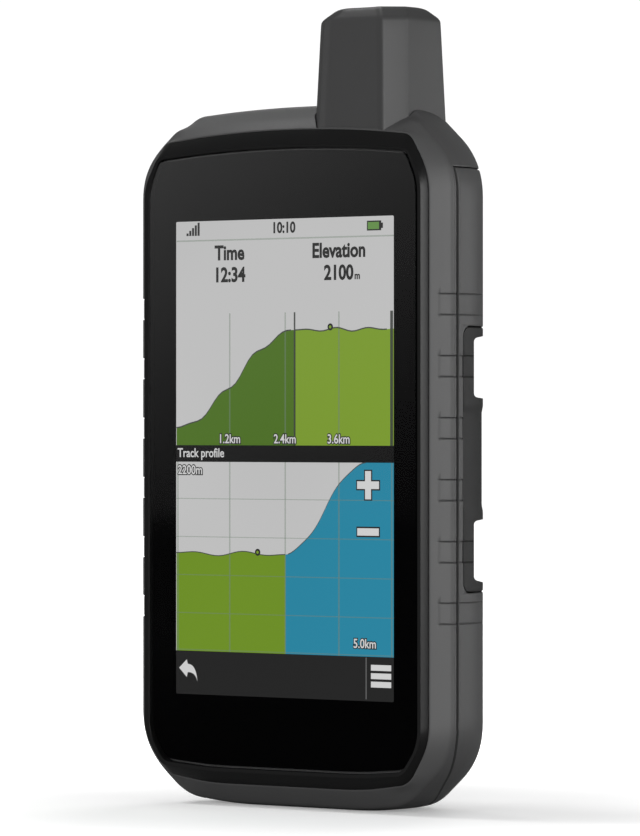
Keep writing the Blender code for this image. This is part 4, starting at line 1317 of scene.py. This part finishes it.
NARROW = 0.93
HEADING_SIZE = 4.6
LABEL_SIZE = 2.9
HEADING_Z = 124.2
VALUE_Z = 119.2
GRID_DISTANCE = 1.2
DARK_WORDS = (
    Word("10:10", 0.0, 130.0, 3.4),
    Word("Time", GRID_X[0], HEADING_Z, HEADING_SIZE),
    Word("12:34", GRID_X[0], VALUE_Z, HEADING_SIZE),
    Word("Elevation", GRID_X[2], HEADING_Z, HEADING_SIZE),
    Word("2100", GRID_X[2], VALUE_Z, HEADING_SIZE),
    Word("m", GRID_X[2] + 5.4, VALUE_Z, HEADING_SIZE / 2),
)
CHART_WORDS = tuple(
    Word(f"{GRID_DISTANCE * (step + 1):.1f}km", x, UPPER_Z[0] + 0.5, LABEL_SIZE)
    for step, x in enumerate(GRID_X)
) + (
    Word("5.0km", 23.8, LOWER_Z[0] + 1.9, LABEL_SIZE),
    Word("2200m", CHART_X[0] + 0.5, LOWER_Z[1] - 2.8, LABEL_SIZE, "LEFT"),
)
TITLE_WORDS = (Word("Track profile", CHART_X[0] + 0.4, LOWER_Z[1] + 1.1, LABEL_SIZE, "LEFT"),)


def make_screen():
    rim = 0.4
    low_x, high_x = CHART_X
    whole = patch(ACTIVE_X[0] - rim, ACTIVE_Z[0] - rim, ACTIVE_X[1] + rim, ACTIVE_Z[1] + rim)
    printed("screen_paper", 0, PAPER, [whole])
    printed("screen_dark_hill", 1, DARK_HILL, [filled(HILL, UPPER_Z[0])])
    printed("screen_light_hill", 1, LIGHT_HILL, [filled(PLATEAU, UPPER_Z[0])])
    printed("screen_meadow", 1, GREEN_GROUND, [filled(MEADOW, LOWER_Z[0])])
    printed("screen_water", 1, WATER, [filled(SHORE, LOWER_Z[0])])
    printed("screen_title_bar", 1, TITLE_BAR, [patch(low_x - rim, LOWER_Z[1], high_x + rim, UPPER_Z[0])])
    printed("screen_key_bar", 1, BAR, [patch(low_x - rim, ACTIVE_Z[0] - rim, high_x + rim, LOWER_Z[0])])

    fine = 0.2
    lines = [patch(x - fine, z[0], x + fine, z[1]) for x in GRID_X for z in (UPPER_Z, LOWER_Z)]
    lines += [patch(x, LOWER_Z[0], x + 2 * fine, LOWER_Z[1]) for x in (low_x + 0.2, high_x - 0.9)]
    printed("screen_grid_uprights", 2, GRID, lines)
    levels = [patch(low_x, z - fine / 2, high_x, z + fine / 2) for z in GRID_Z + (LOWER_Z[0] + 0.3,)]
    printed("screen_grid_levels", 3, GRID, levels)
    printed("screen_header_line", 2, GRID, [patch(low_x, 128.5, high_x, 128.85)])
    split = patch(SPLIT_X - 0.45, UPPER_Z[0], SPLIT_X, UPPER_Z[1])
    edge = patch(high_x - 1.1, UPPER_Z[0], high_x - 0.3, UPPER_Z[1])
    shades = [split, edge, traced(HILL[:-1], 0.3), traced(PLATEAU[:-2], 0.3)]
    shades += [traced(MEADOW, 0.22), traced(SHORE[1:-1], 0.22)]
    printed("screen_outlines", 4, SHADE, shades)

    bars = [patch(-29.1 + 0.84 * step, 129.8, -28.5 + 0.84 * step, 130.4 + 0.6 * step) for step in range(5)]
    signs = [plus(24.75, 73.2, 6.9, 2.35), patch(21.35, 61.6, 28.15, 63.95)]
    rings = [circle(0.8, 16, centre) for centre in MARKERS]
    cell = [patch(24.4, 129.9, 28.5, 132.1), patch(28.5, 130.4, 29.0, 131.6)]
    printed("screen_dark_marks", 4, DARK_MARK, bars + signs + rings + cell, DARK_WORDS, 0.032)
    printed("screen_number_outlines", 4, DARK_MARK, (), CHART_WORDS, 0.09)

    keys = [patch(25.6, 28.2 + 1.87 * step, 31.4, 29.5 + 1.87 * step) for step in range(3)]
    keys += [arrow_back(), plus(24.75, 73.2, 6.3, 1.7), patch(21.65, 61.95, 27.85, 63.6)]
    printed("screen_light_marks", 5, LIGHT_MARK, keys, CHART_WORDS + TITLE_WORDS, 0.012)
    printed("screen_key_divider", 5, DIVIDER, [patch(24.05, ACTIVE_Z[0] + 0.4, 24.35, LOWER_Z[0] - 0.2)])
    printed("screen_battery", 5, BATTERY, [patch(24.7, 130.2, 27.9, 131.8)])
    spots = [circle(0.35, 12, centre) for centre in MARKERS]
    printed("screen_marker_spots", 5, LIGHT_HILL, spots)


# Studio

PALE_WALL = (-0.643, -0.766, 0.0)
WHITE = (1.0, 1.0, 1.0, 1.0)


def make_floor():
    """A pale floor. The camera also sees a painted glow from it, weaker near the object, which leaves painted
    shade round the object's foot. Other rays see the floor three tenths as bright, which paints shade onto
    the object's underside.
    """
    material, graph, shader = new_material("studio_floor")
    path = graph.add("LightPath").outputs["Is Camera Ray"]
    # Painted shade: rays other than the camera's see the floor only three tenths as bright.
    seen = graph.maths("MULTIPLY_ADD", path, 0.7, 0.3)
    shade = graph.maths("MULTIPLY", graph.mapped(graph.noise(900.0, 2.0), 0.84, 0.86), seen)
    graph.links.new(graph.tinted((1.0, 1.0, 1.0), shade), shader.inputs["Base Color"])
    away = graph.add("VectorMath")
    away.operation = "LENGTH"
    graph.links.new(graph.add("TexCoord").outputs["Object"], away.inputs[0])
    # Painted glow for the camera, 0.26 near the object and 1.0 from 0.2 m out; the weaker glow near it is
    # painted shade.
    rise = graph.mapped(away.outputs["Value"], 0.26, 1.0, 0.05, 0.2, smooth=True)
    graph.links.new(graph.maths("MULTIPLY", path, rise), shader.inputs["Emission Strength"])
    preset(shader, Roughness=0.9, Specular_IOR_Level=0.0, Emission_Color=WHITE)
    half = 3000.0
    floor = slab("studio_floor", patch(-half, -10.0, half, 0.0), -half, half)
    floor.data.materials.append(material)
    floor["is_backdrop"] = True


def area_light(name, place, target, size, power, glossy=True):
    data = bpy.data.lights.new(name, "AREA")
    data.shape = "RECTANGLE"
    data.size, data.size_y = size
    data.energy = power
    lamp = bpy.data.objects.new(name, data)
    lamp.location = place
    lamp.visible_glossy = glossy
    lamp.rotation_euler = (Vector(target) - Vector(place)).to_track_quat("-Z", "Y").to_euler()
    bpy.context.scene.collection.objects.link(lamp)
    return lamp


def make_world():
    """A white backdrop for the camera; for the object, dim walls and a pale one at the front left."""
    world = bpy.data.worlds.new("studio")
    bpy.context.scene.world = world
    world.use_nodes = True
    graph = Graph(world.node_tree)
    facing = graph.add("VectorMath")
    facing.operation = "DOT_PRODUCT"
    facing.inputs[1].default_value = PALE_WALL
    graph.links.new(graph.add("TexCoord").outputs["Generated"], facing.inputs[0])
    strength = graph.mapped(facing.outputs["Value"], 0.16, 0.34, 0.8, 0.98, smooth=True)
    fill = graph.nodes["Background"]
    preset(fill, Color=WHITE)
    graph.links.new(strength, fill.inputs["Strength"])
    seen = graph.add("Background", Color=WHITE, Strength=1.05)
    graph.mixed(graph.add("LightPath").outputs["Is Camera Ray"], fill, seen, "World Output")


def make_camera():
    data = bpy.data.cameras.new("camera")
    data.lens = 246.0
    data.sensor_width = 36.0
    camera = bpy.data.objects.new("camera", data)
    camera.location = (0.83444, -0.99614, 0.08661)
    camera.rotation_mode = "QUATERNION"
    camera.rotation_quaternion = Vector((-0.64293, 0.76592, 0.00122)).to_track_quat("-Z", "Y")
    bpy.context.scene.collection.objects.link(camera)
    bpy.context.scene.camera = camera


def make_studio():
    make_floor()
    make_world()
    make_camera()
    middle = (0.0, 0.0, 0.09)
    area_light("key", (1.42, 0.1, 0.3), middle, (0.5, 0.6), 7.0)
    area_light("near_camera", (0.95, -1.15, 0.22), middle, (0.6, 0.4), 11.0)
    area_light("front_fill", (0.0, -1.5, 0.3), middle, (0.8, 0.5), 8.0, glossy=False)
    area_light("upper_left", (-0.9, -0.2, 1.1), middle, (0.4, 0.4), 6.0, glossy=False)
    area_light("crown", (-0.75, 0.45, 1.0), middle, (0.3, 0.3), 1.3)
    area_light("overhead", (0.1, 0.1, 1.5), (0.0, 0.0, 0.0), (1.2, 1.2), 2.5, glossy=False)
    area_light("side_sheen", (0.85, 1.25, 0.16), middle, (0.5, 0.3), 3.0)
    area_light("back_fill", (-0.5, 1.4, 0.8), middle, (0.7, 0.7), 8.0, glossy=False)
    bpy.context.scene.view_settings.view_transform = "Standard"


INTERNAL_FINISHES = {
    "antenna_board": BOARD, "main_board": BOARD, "power_switch_board": BOARD, "protection_board": BOARD,
    "antenna_cable": RUBBER, "antenna_seal": RUBBER, "button_boot": RUBBER, "chassis_seal": RUBBER,
    "glass_gasket": RUBBER, "latch_o_ring": RUBBER, "pack_seal": RUBBER, "speaker_gasket": RUBBER,
    "antenna_core": CERAMIC, "vent_membrane": MEMBRANE, "backlight_unit": DIFFUSER,
    "antenna_port_connector": GOLD,
    "battery_cell_left": WRAP, "battery_cell_right": WRAP, "display_flex": AMBER,
    "lcd_panel": INK, "memory_card": DARK, "speaker": DARK, "rear_chassis": DARK, "pack_tray": DARK,
    "mount_spine": DARK,
}


def paint_frame():
    """Gives every CAD node that stays in view its material."""
    for name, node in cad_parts.items():
        if node.hide_render:
            continue
        node.data.materials.clear()
        node.data.materials.append(INTERNAL_FINISHES.get(name, STEEL))
        soften(node, 0.45 if name == "mount_spine" else 0.12, 2)


def corners(bounds):
    return [list(corner) for corner in bounds]


def main():
    make_front_housing(skin("housing_skin"))
    make_pack_case(skin("case_skin"))
    make_rail("left", -1)
    make_rail("right", 1)
    make_seam_shade_strip()
    make_bezel_ring()
    make_glass()
    make_antenna()
    make_screen()
    make_power_button()
    make_weather_caps()
    make_latch_stud()
    make_d_ring()
    make_spine_screws()
    make_all_contacts()
    paint_frame()
    make_studio()
    {"cad": corners(cad_box), "visual": corners(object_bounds())}


main()
